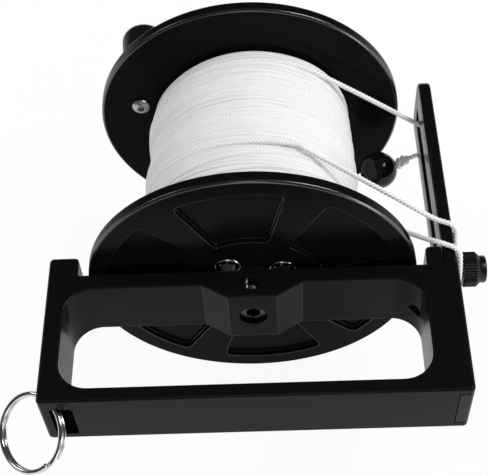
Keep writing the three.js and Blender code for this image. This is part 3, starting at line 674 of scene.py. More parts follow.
@dataclass(frozen=True)
class Acetal:
    """White acetal: waxy, with faint machining marks."""

    name: str = "acetal_white"
    slot: str = "acetal"

    def material(self) -> bpy.types.Material:
        """Builds the material.

        Returns:
            The material.
        """
        graph = Graph(self.name)
        grain = graph.noise(700, 2)
        graph.feed(graph.blend(grain, (0.72, 0.7, 0.64), (0.82, 0.8, 0.75)), "Base Color")
        graph.feed(graph.span(grain, 0.35, 0.5), "Roughness")
        return graph.material


@dataclass(frozen=True)
class Glossy:
    """The end ball's glossy black, with a faint orange-peel surface."""

    name: str = "ball_gloss_black"
    slot: str = "ball_black"

    def material(self) -> bpy.types.Material:
        """Builds the material.

        Returns:
            The material.
        """
        graph = Graph(self.name)
        peel = graph.noise(420, 1)
        graph.feed(graph.blend(peel, (0.004, 0.004, 0.0045), (0.007, 0.007, 0.008)), "Base Color")
        graph.feed(graph.span(peel, 0.06, 0.12), "Roughness")
        graph.bump(peel, 0.06, 0.02)
        graph.set(IOR=1.36)
        return graph.material


@dataclass(frozen=True)
class Braid:
    """White braided line: crossing yarns on the piece's own UV map, with painted shade a little darker
    between them.
    """

    name: str = "braided_white"
    slot: str = "line_white"
    yarns: int = 4
    relief: float = 0.1
    strength: float = 0.6
    # The colour between the yarns, painted shade in the crevices, and the colour of the yarns' tops
    groove: float = 0.68
    crown: float = 0.89
    lean: float = 0.0

    @classmethod
    def free(cls) -> "Braid":
        """Gives the finish of the line where it lies free, whose relief is in the mesh, with its white
        painted lighter than the same line's on the wound layers.

        Returns:
            The finish.
        """
        return cls(name="braided_free", yarns=3, relief=0.06, strength=0.4, groove=0.56, crown=0.93, lean=0.3)

    def material(self) -> bpy.types.Material:
        """Builds the material.

        Returns:
            The material.
        """
        graph = Graph(self.name)
        parts = graph.tree.nodes.new("ShaderNodeSeparateXYZ")
        graph.tree.links.new(graph.coords.outputs["UV"], parts.inputs["Vector"])
        around = graph.math("MULTIPLY", parts.outputs["X"], self.yarns * math.pi)
        along = graph.math("MULTIPLY", parts.outputs["Y"], math.pi)
        left = graph.math("ABSOLUTE", graph.math("SINE", graph.math("ADD", along, around)))
        right = graph.math("ABSOLUTE", graph.math("SINE", graph.math("SUBTRACT", along, around)))
        crossing = graph.math("MULTIPLY", left, right)
        even = graph.math("MULTIPLY", crossing, 1 - self.lean)
        yarn = graph.math("ADD", even, graph.math("MULTIPLY", left, self.lean))
        fibre = graph.noise(2400, 2)
        height = graph.math("ADD", yarn, graph.math("MULTIPLY", fibre, 0.25))
        patches = graph.math("MULTIPLY", graph.noise(90, 2), 0.3)
        # Painted shade: the colour runs from the yarns' tops down to a darker colour between them, with
        # random patches on top
        tone = graph.math("ADD", graph.math("MULTIPLY", yarn, 0.95), patches)
        between = (self.groove, self.groove, self.groove * 1.01)
        graph.feed(graph.blend(tone, between, (self.crown,) * 3), "Base Color")
        graph.bump(height, self.strength, self.relief)
        graph.set(Roughness=0.82, Sheen_Weight=0.15, Sheen_Roughness=0.5)
        return graph.material


@dataclass(frozen=True)
class Polished:
    """Bright polished wire, with hair scratches."""

    name: str = "wire_polished"
    slot: str = "polished"

    def material(self) -> bpy.types.Material:
        """Builds the material.

        Returns:
            The material.
        """
        graph = Graph(self.name)
        hair = graph.noise(900, 3, (1, 1, 5))
        graph.feed(graph.blend(hair, (0.66, 0.66, 0.67), (0.8, 0.8, 0.8)), "Base Color")
        graph.feed(graph.span(hair, 0.08, 0.2), "Roughness")
        graph.set(Metallic=1.0)
        return graph.material


class Paints:
    """Each finish's material, built once and shared."""

    def __init__(self) -> None:
        """Starts with none built."""
        self.made: dict[str, bpy.types.Material] = {}

    def of(self, finish: Finish) -> bpy.types.Material:
        """Gives a finish's material.

        Args:
            finish: The finish.

        Returns:
            Its material.
        """
        if finish.name not in self.made:
            self.made[finish.name] = finish.material()
        return self.made[finish.name]


PAINTS = Paints()


def settle(obj: bpy.types.Object, body: Body, finish: Finish, *nodes: str) -> bpy.types.Object:
    """Dresses a finished piece, sets it on its body and has it stand for its solids.

    Args:
        obj: The piece.
        body: The body that it rides on.
        finish: Its finish.
        nodes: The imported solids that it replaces.

    Returns:
        The piece.
    """
    Bench.two_finishes(obj)
    obj.data.materials[0] = PAINTS.of(finish)
    obj.data.materials[1] = PAINTS.of(finish.edge() if hasattr(finish, "edge") else finish)
    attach(obj, body.value)
    if nodes:
        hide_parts(*nodes)
    LOG.info("%s: %d faces on %s", obj.name, len(obj.data.polygons), body.value)
    return obj


def dress(finish: Finish, *nodes: str) -> None:
    """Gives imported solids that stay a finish.

    Args:
        finish: The finish.
        nodes: The solids' names.
    """
    for name in nodes:
        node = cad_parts[name]
        node.data.materials.clear()
        node.data.materials.append(PAINTS.of(finish))
        LOG.info("%s keeps its solid in %s", name, finish.name)


@dataclass(frozen=True)
class Tube:
    """A round line swept through points, with its own UV map: once round, and along by the braid's pitch.

    Args:
        radius: Radius in millimetres.
        sides: Points round the section.
        pitch: Length of one braid cell in millimetres.
        relief: Height of the yarns in millimetres.
        wide: How much the section is pressed wider along the axle.
        tall: How much it is pressed flatter across it.
    """

    radius: float
    sides: int
    pitch: float = 1.45
    relief: float = 0.0
    wide: float = 1.0
    tall: float = 1.0

    # Yarns that cross round the line, the share of them that shows both ways, and their middle height
    YARNS = 3
    CROSSED = 0.65
    MIDDLE = 0.55

    def sweep(self, name: str, runs: Iterable[np.ndarray]) -> bpy.types.Object:
        """Sweeps the section along each run and joins them in one object.

        Args:
            name: The new object's name.
            runs: Arrays of points in reel millimetres.

        Returns:
            The object, in scene metres.
        """
        vertices: list[np.ndarray] = []
        faces: list[tuple[int, ...]] = []
        uvs: list[np.ndarray] = []
        for run in runs:
            self.add(np.asarray(run, float), vertices, faces, uvs)
        mesh = bpy.data.meshes.new(name)
        places = np.concatenate(vertices) * MM + np.array(REEL.origin)
        mesh.from_pydata(places.tolist(), [], faces)
        layer = mesh.uv_layers.new(name="along_line")
        layer.data.foreach_set("uv", np.concatenate(uvs).ravel())
        mesh.polygons.foreach_set("use_smooth", [True] * len(mesh.polygons))
        mesh.update()
        return Bench.bring(name, mesh)

    def add(self, run: np.ndarray, vertices: list, faces: list, uvs: list) -> None:
        """Adds one run's rings, faces and UV places.

        Args:
            run: Points in reel millimetres.
            vertices: Rings so far.
            faces: Faces so far.
            uvs: UV places so far, one array for each face block.
        """
        count, sides = len(run), self.sides
        length = np.concatenate([[0], np.cumsum(np.linalg.norm(np.diff(run, axis=0), axis=1))])
        v = length / self.pitch
        u = np.arange(sides) / sides
        base = sum(len(part) for part in vertices)
        vertices.append(self.rings(run, u, v).reshape(-1, 3))
        i = np.arange(count - 1)[:, None]
        j = np.arange(sides)[None]
        k = (j + 1) % sides
        quads = np.stack([i * sides + j, i * sides + k, (i + 1) * sides + k, (i + 1) * sides + j], -1)
        faces.extend(map(tuple, (quads.reshape(-1, 4) + base).tolist()))
        u0, u1 = j / sides + 0 * i, (j + 1) / sides + 0 * i
        v0, v1 = v[i] + 0 * u0, v[i + 1] + 0 * u0
        corners = ((u0, v0), (u1, v0), (u1, v1), (u0, v1))
        uvs.append(np.stack([np.stack(corner, -1) for corner in corners], 2).reshape(-1, 2))
        last = base + (count - 1) * sides
        faces.append(tuple(base + sides - 1 - n for n in range(sides)))
        faces.append(tuple(last + n for n in range(sides)))
        uvs.append(np.stack([u[::-1], np.zeros(sides)], -1))
        uvs.append(np.stack([u, np.full(sides, v[-1])], -1))

    def rings(self, run: np.ndarray, u: np.ndarray, v: np.ndarray) -> np.ndarray:
        """Sets the section at each point of a run.

        Args:
            run: Points in reel millimetres.
            u: Shares of the way round, one for each side.
            v: Braid cells from the start, one for each point.

        Returns:
            The section's points at each point of the run.
        """
        normal, across = self.directions(run)
        angle = 2 * math.pi * np.arange(self.sides) / self.sides
        height = self.heights(u, v)
        return (
            run[:, None]
            + normal[:, None] * (np.cos(angle)[None, :, None] * height[..., None] * self.wide)
            + across[:, None] * (np.sin(angle)[None, :, None] * height[..., None] * self.tall)
        )

    @staticmethod
    def directions(run: np.ndarray) -> tuple[np.ndarray, np.ndarray]:
        """Carries the section's two directions along a run without a twist.

        Args:
            run: Points in reel millimetres.

        Returns:
            The two directions at each point.
        """
        tangent = np.gradient(run, axis=0)
        tangent /= np.linalg.norm(tangent, axis=1)[:, None]
        normal = np.zeros_like(run)
        start = np.array((0, 1.0, 0)) if abs(tangent[0][1]) < 0.9 else np.array((1.0, 0, 0))
        current = start - tangent[0] * start.dot(tangent[0])
        for i, way in enumerate(tangent):
            current = current - way * current.dot(way)
            current /= np.linalg.norm(current)
            normal[i] = current
        return normal, np.cross(tangent, normal)

    def heights(self, u: np.ndarray, v: np.ndarray) -> np.ndarray:
        """Gives the section's radius at each point, raised where yarns lie on top.

        Args:
            u: Shares of the way round.
            v: Braid cells from the start.

        Returns:
            The radius for each cell and each side.
        """
        height = np.full((len(v), self.sides), self.radius)
        if self.relief:
            a = math.pi * (v[:, None] + self.YARNS * u[None])
            b = math.pi * (v[:, None] - self.YARNS * u[None])
            both = np.abs(np.sin(a) * np.sin(b))
            pillow = self.CROSSED * both + (1 - self.CROSSED) * np.abs(np.sin(a))
            height += self.relief * (pillow - self.MIDDLE)
        return height


def through(points: Sequence[Sequence[float]], spacing: float) -> np.ndarray:
    """Runs a smooth line through chosen points, evenly spaced along it.

    Args:
        points: Points in reel millimetres.
        spacing: Distance between the points of the result, in millimetres.

    Returns:
        The line's points.
    """
    steps = 40
    given = [np.array(p, float) for p in points]
    given = [2 * given[0] - given[1], *given, 2 * given[-1] - given[-2]]
    dense: list[np.ndarray] = []
    for p0, p1, p2, p3 in zip(given, given[1:], given[2:], given[3:]):
        t01, t12, t23 = (math.sqrt(np.linalg.norm(b - a)) for a, b in ((p0, p1), (p1, p2), (p2, p3)))
        m1 = (p1 - p0) / t01 - (p2 - p0) / (t01 + t12) + (p2 - p1) / t12
        m2 = (p2 - p1) / t12 - (p3 - p1) / (t12 + t23) + (p3 - p2) / t23
        m1, m2 = m1 * t12, m2 * t12
        bend, twist = -3 * p1 + 3 * p2 - 2 * m1 - m2, 2 * p1 - 2 * p2 + m1 + m2
        for t in np.arange(0, 1, 1 / steps):
            dense.append(p1 + m1 * t + bend * t**2 + twist * t**3)
    dense.append(given[-2])
    line = np.array(dense)
    length = np.concatenate([[0], np.cumsum(np.linalg.norm(np.diff(line, axis=0), axis=1))])
    marks = np.linspace(0, length[-1], max(2, round(length[-1] / spacing) + 1))
    return np.stack([np.interp(marks, length, line[:, n]) for n in range(3)], -1)


@dataclass
class FreeLine:
    """The two stretches of line that lie free, the knot and the ball at the end of one."""

    diameter: float = 1.75
    ball_radius: float = 7.5
    ball_bore: float = 1.4
    bore_edge: float = 0.5
    knot_length: float = 6.5
    knot_turns: float = 2.6
    knot_reach: float = 1.3
    gap: float = 0.3
    guide_route: tuple = (
        (27.3, 74, 31.5),
        (41, 73.8, 21.4),
        (55, 73.5, 10.8),
        (64, 73.2, 3.9),
        (69.2, 73, 0.4),
        (72.6, 72.9, -2),
        (74.6, 72.8, -5.6),
        (74.9, 72.6, -10.2),
        (74.5, 72.3, -13.8),
        (72, 71.9, -15.3),
        (68.9, 71.1, -15.4),
        (66.9, 70.4, -15.4),
        (65.1, 69.6, -15.4),
    )
    lock_route: tuple = (
        (17.9, 33, 38.6),
        (30.2, 28.6, 32.8),
        (42.6, 24, 27),
        (55, 19.5, 21.1),
        (64, 16.3, 16.6),
        (67.8, 15, 15.1),
        (70.4, 14.1, 14.8),
        (72.4, 13.2, 14.6),
        (74.0, 12.4, 13.0),
        (74.3, 11, 9.8),
        (74.4, 9.2, 7),
        (74.6, 7.8, 3.8),
        (74.6, 6.6, 0.6),
        (74.6, 4.4, -2),
        (74.6, 1.4, -3),
        (74.6, -1.6, -2.2),
        (74.6, -3.4, 0.4),
        (74.6, -3.4, 3.8),
        (74.6, -2.4, 7.2),
        (74.6, -0.4, 10.6),
        (74.3, 1.6, 13.3),
        (72.5, 2.9, 14.7),
        (70.2, 4, 14.8),
        (67.3, 5.6, 14.4),
        (64, 9.8, 10.6),
        (56.2, 20.9, 1.2),
        (44.6, 37.4, -12.7),
        (32.9, 54, -26.8),
    )

    def build(self) -> None:
        knot = self.knot()
        ball = self.ball()
        self.stretch("guide_line", self.guide_route, "knot", "line_to_guide", [knot, ball])
        self.stretch("lock_line", self.lock_route, "object", "line_bight", [])

    def stretch(self, name: str, route: Sequence, far_end: str, node: str, pieces: list) -> None:
        """Makes one free stretch.

        Args:
            name: The piece's name.
            route: Its points in reel millimetres.
            far_end: What its far end is; not used.
            node: The solid that it stands for.
            pieces: The pieces on it; not used.
        """
        fine = through(route, 0.2)
        tube = Tube(self.diameter / 2 + 0.04, sides=18, pitch=1.55, relief=0.24)
        cord = settle(tube.sweep(name, [fine]), Body.FRAME, Braid.free(), node)

    def beyond_end(self, distance: float) -> tuple[np.ndarray, np.ndarray]:
        """Finds a place past the guide line's end.

        Args:
            distance: Millimetres past the end.

        Returns:
            The place, and the direction that the line ends in.
        """
        before, end = (np.array(p) for p in self.guide_route[-2:])
        along = (end - before) / np.linalg.norm(end - before)
        return end + along * distance, along

    def knot(self) -> bpy.types.Object:
        """Ties the stopper knot: three close wraps of the line round itself, and a short tail.

        Returns:
            The knot.
        """
        half = self.knot_length / 2
        centre, along = self.beyond_end(self.gap + half)
        side = np.cross(along, (0, 0, 1.0))
        side /= np.linalg.norm(side)
        up = np.cross(side, along)
        share = np.linspace(0, 1, 160)
        turn = 2 * math.pi * self.knot_turns * share
        reach = self.knot_reach * np.sin(math.pi * np.clip(share, 0.05, 0.95)) ** 0.5
        wraps = (
            centre
            + along * ((share - 0.5) * (self.knot_length - 1.6))[:, None]
            + side * (np.cos(turn) * reach)[:, None]
            + up * (np.sin(turn) * reach)[:, None]
        )
        core = through([centre - along * (half - 0.1), centre, centre + along * (half + 0.1)], 0.25)
        out = wraps[-1]
        tail = through([out, out + up * -1.6 - along * 0.4, out + up * -3.4 - along * 1.6 + side * 0.6], 0.25)
        tube = Tube(0.96, sides=14, pitch=1.5, relief=0.2)
        knot = tube.sweep("tied_knot", [wraps, core, tail])
        return settle(knot, Body.FRAME, Braid.free(), "stopper_knot")

    def ball(self) -> bpy.types.Object:
        """Turns the end ball with its bore.

        Returns:
            The ball.
        """
        centre, along = self.beyond_end(2 * self.gap + self.knot_length + self.ball_radius)
        bore, r = self.ball_bore, self.ball_radius
        first = math.asin((bore + self.bore_edge) / r)
        inside = -r * math.cos(first) + self.bore_edge
        profile = [(bore, inside)]
        for angle in np.linspace(first, math.pi - first, 40):
            profile.append((r * math.sin(angle), -r * math.cos(angle)))
        profile += [(bore, -inside), (bore, inside)]
        ball = Bench.lathe("end_bead", Axis.Y, (0, 0, 0), profile, steps=72)
        Bench.take(ball)
        turn = Vector((0, 1, 0)).rotation_difference(Vector(along)).to_matrix().to_4x4()
        ball.data.transform(REEL.carry(turn, centre))
        bpy.ops.object.shade_smooth_by_angle(angle=math.radians(40))
        return settle(ball, Body.FRAME, Glossy(), "end_ball")


@dataclass
class Winding:
    """The wound line: turns laid one by one, each resting on what is already there."""

    line_radius: float = 0.9
    press: float = 0.86
    spread: float = 1.22
    mean: float = 40.0
    near: float = 5.0
    far: float = 79.6
    turns: int = 42
    pieces: int = 4
    over: int = 10
    around: int = 360
    cell: float = 0.25
    drum: float = 20.4
    under_depth: float = 2.9
    lower_depth: float = 2.45
    # Places along the axle, and at each bearing the winding's outer radius at those places
    stations: tuple = (5, 22, 30, 38, 45, 51, 58, 64, 68, 74, 80)
    outside: tuple = (
        (-180, (41.0, 40.4, 40.6, 40.3, 41.3, 39.2, 39.1, 40.5, 40.7, 39.1, 38.6)),
        (-90, (40.6, 40.6, 40.4, 40.5, 40.6, 40.5, 40.3, 40.4, 40.5, 40.3, 40.2)),
        (0, (40.8, 40.7, 41.0, 41.0, 41.4, 40.9, 40.8, 40.5, 40.1, 39.9, 39.6)),
        (50, (40.6, 40.5, 40.8, 40.9, 41.1, 40.9, 40.9, 41.0, 41.1, 41.5, 41.7)),
        (90, (40.6, 40.4, 40.7, 40.8, 40.9, 40.8, 40.7, 40.8, 41.0, 41.3, 41.5)),
        (135, (40.7, 40.4, 40.6, 40.5, 40.9, 40.0, 39.8, 40.4, 40.3, 39.3, 38.9)),
    )
    lift: float = 0.35
    weave: float = 1.15
    # Degrees, place, radius, drift and way round of the part turns that lead to the free stretches
    leaves: tuple = (
        (65.1, 33.0, 42.5, 5.0, 1),
        (-39.2, 54.0, 42.4, -6.0, -1),
        (49.1, 74.0, 41.7, -1.5, 1),
    )

    def __post_init__(self) -> None:
        """Shapes the winding's outside, and the surface that its turns rest on."""
        self.rows = int((self.far - self.near) / self.cell) + 1
        self.places = self.near + self.cell * np.arange(self.rows)
        self.envelope = self.heaps(self.places)
        self.surface = self.envelope - 2 * self.line_radius * self.press

    def build(self) -> None:
        """Lays the turns and makes them in pieces over the turns below them."""
        braid = Braid()
        settle(self.underlay(), Body.SPOOL, braid, "line_core")
        lower = Tube(self.line_radius, sides=8, pitch=self.weave, wide=1.15)
        settle(lower.sweep("lower_turns", [self.lower_turns()]), Body.SPOOL, braid)
        layer = self.lay(*self.even_turns())
        tube = Tube(self.line_radius, sides=12, pitch=self.weave, wide=self.spread, tall=self.press)
        share = len(layer) // self.pieces
        for n in range(self.pieces):
            run = layer[n * share : (n + 1) * share + 1 if n < self.pieces - 1 else None]
            nodes = ("line_winding",) if n == 0 else ()
            settle(tube.sweep(f"outer_turns_{n + 1}", [run]), Body.SPOOL, braid, *nodes)
        over = self.lay(*self.crossing_turns())
        settle(tube.sweep("crossing_turns", [over]), Body.SPOOL, braid)
        wraps = [self.leaving(*leave) for leave in self.leaves]
        fine = Tube(self.line_radius, sides=16, pitch=1.45, relief=0.2)
        settle(fine.sweep("leaving_turns", wraps), Body.SPOOL, Braid.free())

    def heaps(self, y: np.ndarray) -> np.ndarray:
        """Shapes the winding's uneven outside between the radii chosen round it and along it.

        Args:
            y: Places along the axle.

        Returns:
            The radius at each degree round and each place.
        """
        bearings = np.array([b for b, _ in self.outside] + [180.0])
        along = np.array([np.interp(y, self.stations, r) for _, r in self.outside])
        along = np.vstack([along, along[:1]])
        degrees = (np.arange(self.around) + 180) % 360 - 180
        full = np.stack([np.interp(degrees, bearings, along[:, n]) for n in range(len(y))], -1)
        for axis, width, edge in ((0, 31, "wrap"), (1, 11, "edge")):
            kernel = np.hanning(width + 2)[1:-1]
            kernel /= kernel.sum()
            pad = [(0, 0), (0, 0)]
            pad[axis] = (width // 2, width // 2)
            full = np.pad(full, pad, mode=edge)
            full = np.apply_along_axis(lambda line: np.convolve(line, kernel, mode="valid"), axis, full)
        return full - self.lift

    def top(self, theta: np.ndarray, y: np.ndarray) -> np.ndarray:
        """Gives the outside's radius at places on it.

        Args:
            theta: Angles in radians.
            y: Places along the axle.

        Returns:
            The radius at each.
        """
        turn = np.degrees(theta) % 360
        column = np.floor(turn).astype(int) % self.around
        row = np.clip(np.round((y - self.near) / self.cell).astype(int), 0, self.rows - 1)
        part = turn - np.floor(turn)
        return self.envelope[column, row] * (1 - part) + self.envelope[(column + 1) % self.around, row] * part

    def steps(self, turns: int, spacing: float) -> np.ndarray:
        """Counts turns in even steps.

        Args:
            turns: How many turns.
            spacing: Millimetres of line between the steps.

        Returns:
            The turns at each step.
        """
        return np.linspace(0, turns, int(turns * 2 * math.pi * self.mean / spacing))

    def lower_turns(self) -> np.ndarray:
        """Lays the turns that show between the outer ones.

        Returns:
            The line's points in reel millimetres.
        """
        t = self.steps(self.turns, 1.2)
        low, high = self.near + self.line_radius + 0.9, self.far - self.line_radius - 0.9
        angle = 2 * math.pi * t
        y = low + (high - low) * t / self.turns
        radius = self.top(angle, y) - self.lower_depth * self.line_radius
        return np.stack([radius * np.cos(angle), y, radius * np.sin(angle)], -1)

    def underlay(self) -> bpy.types.Object:
        """Turns the plain body of line under the turns that are laid.

        Returns:
            The underlay.
        """
        radius = self.envelope.min(axis=0) - self.under_depth * self.line_radius
        start, end = (self.drum, float(self.places[0])), (self.drum, float(self.places[-1]) - 0.2)
        outside = [(float(r), float(y)) for y, r in list(zip(self.places, radius))[::8]]
        profile = [start, *outside, end, start]
        body = Bench.lathe("under_turns", Axis.Y, (0, 0, 0), profile, steps=64)
        body.data.uv_layers.new(name="along_line")
        Bench.soften(body, 0)
        return body

    def even_turns(self) -> tuple[np.ndarray, np.ndarray]:
        """Plans the layer from the near flange to the far one, in groups that lean, less at both ends.

        Returns:
            Angles in radians, and places along the axle.
        """
        t = self.steps(self.turns, 0.4)
        low, high = self.near + self.line_radius, self.far - self.line_radius
        lean = np.sin(2 * math.pi * t + 1.5 * np.sin(t / 3.1)) * (0.95 + 0.5 * np.sin(t / 4.3))
        inward = np.sin(math.pi * t / self.turns) ** 0.4
        y = low + (high - low) * t / self.turns + lean * inward
        return 2 * math.pi * t, np.clip(y, low, high)

    def crossing_turns(self) -> tuple[np.ndarray, np.ndarray]:
        """Plans the last few turns, which run back and forth at a slant over the others.

        Returns:
            Angles in radians, and places along the axle.
        """
        t = self.steps(self.over, 0.4)
        high, low = self.far - 3, self.near + 4
        middle, reach = (high + low) / 2, (high - low) / 2
        passes, first_place, first_angle = 1.5, 1.2, 2.4
        slant = np.sin(2 * math.pi * t / self.over * passes + first_place)
        sway = np.arcsin(0.97 * slant) / (math.pi / 2)
        y = middle + reach * sway + 1.2 * np.sin(2 * math.pi * t * 0.43)
        return 2 * math.pi * t + first_angle, np.clip(y, low, high)

    def leaving(self, degrees: float, place: float, radius: float, drift: float, way: int) -> np.ndarray:
        """Lays the part turn that leads to where a free stretch leaves.

        Args:
            degrees: Angle where the free stretch leaves.
            place: Its place along the axle.
            radius: The free stretch's distance from the axle there.
            drift: How far it moves along the axle on the way.
            way: Which way round it runs.

        Returns:
            The line's points in reel millimetres.
        """
        turned, eased, edge = 0.62, 0.24, self.line_radius
        t = np.linspace(0, 1, 420)
        angle = math.radians(degrees) + way * 2 * math.pi * turned * t
        run = self.lay(angle, np.clip(place + drift * t ** 1.4, self.near + edge, self.far - edge))
        laid = np.hypot(run[:, 0], run[:, 2])
        ease = np.clip(1 - t / eased, 0, 1) ** 2
        target = laid + (radius - laid[0]) * ease
        scale = target / laid
        return run * np.stack([scale, np.ones_like(scale), scale], -1)

    def lay(self, angle: np.ndarray, place: np.ndarray) -> np.ndarray:
        """Lays line along a plan so that it rests on the surface, pressed in where it would stand proud.

        Args:
            angle: Angles in radians.
            place: Places along the axle in millimetres.

        Returns:
            The line's points in reel millimetres.
        """
        r = self.line_radius
        reach = int(r / self.cell)
        offsets = np.arange(-reach, reach + 1)
        rise = self.press * np.sqrt(np.maximum(r * r - (offsets * self.cell) ** 2, 0))
        share, most = 0.3, 1.1 * self.lift
        column = np.round(np.degrees(angle)).astype(int) % self.around
        row = np.round((place - self.near) / self.cell).astype(int)
        rest = self.top(angle, place) - self.press * r
        radius = np.empty(len(angle))
        for n in range(len(angle)):
            rows = np.clip(row[n] + offsets, 0, self.rows - 1)
            level = self.surface[column[n], rows]
            stand = (level + rise)[1:-1].max() - 0.2
            radius[n] = rest[n] + min(max(stand - rest[n], 0) * share, most)
            self.surface[column[n], rows] = np.maximum(level, radius[n] + rise)
        kernel = np.hanning(25)
        kernel /= kernel.sum()
        smooth = np.convolve(np.pad(radius, len(kernel) // 2, mode="edge"), kernel, mode="valid")
        return np.stack([smooth * np.cos(angle), place, smooth * np.sin(angle)], -1)


@dataclass(frozen=True)
class Viewpoint:
    """The photograph's camera: its place in reel millimetres, its directions and its reach in pixels."""

    place: tuple = (10.064, -236.659, 356.495)
    right: tuple = (0.99899294, -0.00980881, -0.04378226)
    down: tuple = (-0.03357855, -0.81065913, -0.58455475)
    ahead: tuple = (-0.02975871, 0.58543622, -0.81017211)
    pixels: float = 1164.851
    frame_width: int = 488
    sensor: float = 36.0

    def build(self) -> None:
        """Makes the camera and sets it as the scene's."""
        data = bpy.data.cameras.new("photo_camera")
        data.sensor_width = self.sensor
        data.lens = self.pixels / self.frame_width * self.sensor
        data.clip_start, data.clip_end = 0.01, 20
        camera = Bench.bring("photo_camera", data)
        turn = Matrix((Vector(self.right), -Vector(self.down), -Vector(self.ahead))).transposed()
        camera.matrix_world = Matrix.Translation(REEL.at(*self.place)) @ turn.to_4x4()
        bpy.context.scene.camera = camera


@dataclass(frozen=True)
class Softbox:
    """One soft lamp of the studio: its place and side in metres, and its power in watts."""

    name: str
    place: tuple
    size: float
    power: float

    def build(self) -> None:
        """Makes the lamp, aimed at the reel's middle."""
        middle = Vector((0, 0, 0.06))
        data = bpy.data.lights.new(self.name, "AREA")
        data.shape = "SQUARE"
        data.size = self.size
        data.energy = self.power
        lamp = Bench.bring(self.name, data)
        lamp.location = self.place
        aim = middle - Vector(self.place)
        lamp.rotation_euler = aim.to_track_quat("-Z", "Y").to_euler()


@dataclass(frozen=True)
class Studio:
    """Floor, world light and lamps.

    The shares say how much of plain white the camera and gloss see, whatever light falls there.
    """

    floor_size: float = 12.0
    floor_level: float = -0.0002
    floor_tone: float = 0.86
    floor_rough: float = 0.9
    floor_seen: float = 0.93
    floor_mirrored: float = 0.3
    world_light: float = 0.6
    world_mirrored: float = 0.05
    lamps: tuple = (
        Softbox("key_right", (1.1, 0.1, 1.3), 0.6, 12.0),
        Softbox("fill_left", (-1.3, 0.3, 1.0), 0.6, 3.5),
        Softbox("front_low", (0.1, -1.8, 0.4), 0.8, 3.5),
        Softbox("front_high", (0.0, -1.35, 1.0), 0.35, 0.7),
        Softbox("side_right", (1.5, -0.9, 0.25), 0.5, 4.5),
        Softbox("window_right", (0.75, -0.1, 1.35), 0.25, 2.5),
    )

    def build(self) -> None:
        """Makes the floor, the world and the lamps."""
        self.floor()
        self.world()
        for lamp in self.lamps:
            lamp.build()
        bpy.context.scene.view_settings.view_transform = "Standard"

    def floor(self) -> None:
        """Lays the pale floor, which the camera sees nearly white and gloss sees dimmer."""
        Bench.clear()
        bpy.ops.mesh.primitive_plane_add(size=self.floor_size, location=(0, 0, self.floor_level))
        floor = Bench.place("studio_floor")
        graph = Graph("studio_white")
        graph.set(Base_Color=(self.floor_tone,) * 3 + (1,), Roughness=self.floor_rough)
        tree = graph.tree
        glow = tree.nodes.new("ShaderNodeEmission")
        glow.inputs["Strength"].default_value = 1.0
        path = tree.nodes.new("ShaderNodeLightPath")
        seen = graph.math("MULTIPLY", path.outputs["Is Camera Ray"], self.floor_seen)
        mirrored = graph.math("MULTIPLY", path.outputs["Is Glossy Ray"], self.floor_mirrored)
        mix = tree.nodes.new("ShaderNodeMixShader")
        out = next(n for n in tree.nodes if n.type == "OUTPUT_MATERIAL")
        tree.links.new(graph.math("ADD", mirrored, seen), mix.inputs["Fac"])
        tree.links.new(graph.shader.outputs[0], mix.inputs[1])
        tree.links.new(glow.outputs[0], mix.inputs[2])
        tree.links.new(mix.outputs[0], out.inputs["Surface"])
        floor.data.materials.append(graph.material)

    def world(self) -> None:
        """Sets an even pale world that the camera sees as white and gloss sees as dim."""
        world = bpy.data.worlds.new("studio_world")
        world.use_nodes = True
        tree = world.node_tree
        path = tree.nodes.new("ShaderNodeLightPath")
        shown = tree.nodes["Background"]
        shown.inputs["Color"].default_value = (1, 1, 1, 1)
        shown.inputs["Strength"].default_value = self.world_light
        for ray, strength in (("Is Glossy Ray", self.world_mirrored), ("Is Camera Ray", 1.0)):
            white = tree.nodes.new("ShaderNodeBackground")
            white.inputs["Color"].default_value = (1, 1, 1, 1)
            white.inputs["Strength"].default_value = strength
            mix = tree.nodes.new("ShaderNodeMixShader")
            tree.links.new(path.outputs[ray], mix.inputs["Fac"])
            tree.links.new(shown.outputs[0], mix.inputs[1])
            tree.links.new(white.outputs[0], mix.inputs[2])
            shown = mix
        tree.links.new(shown.outputs[0], tree.nodes["World Output"].inputs["Surface"])
        bpy.context.scene.world = world


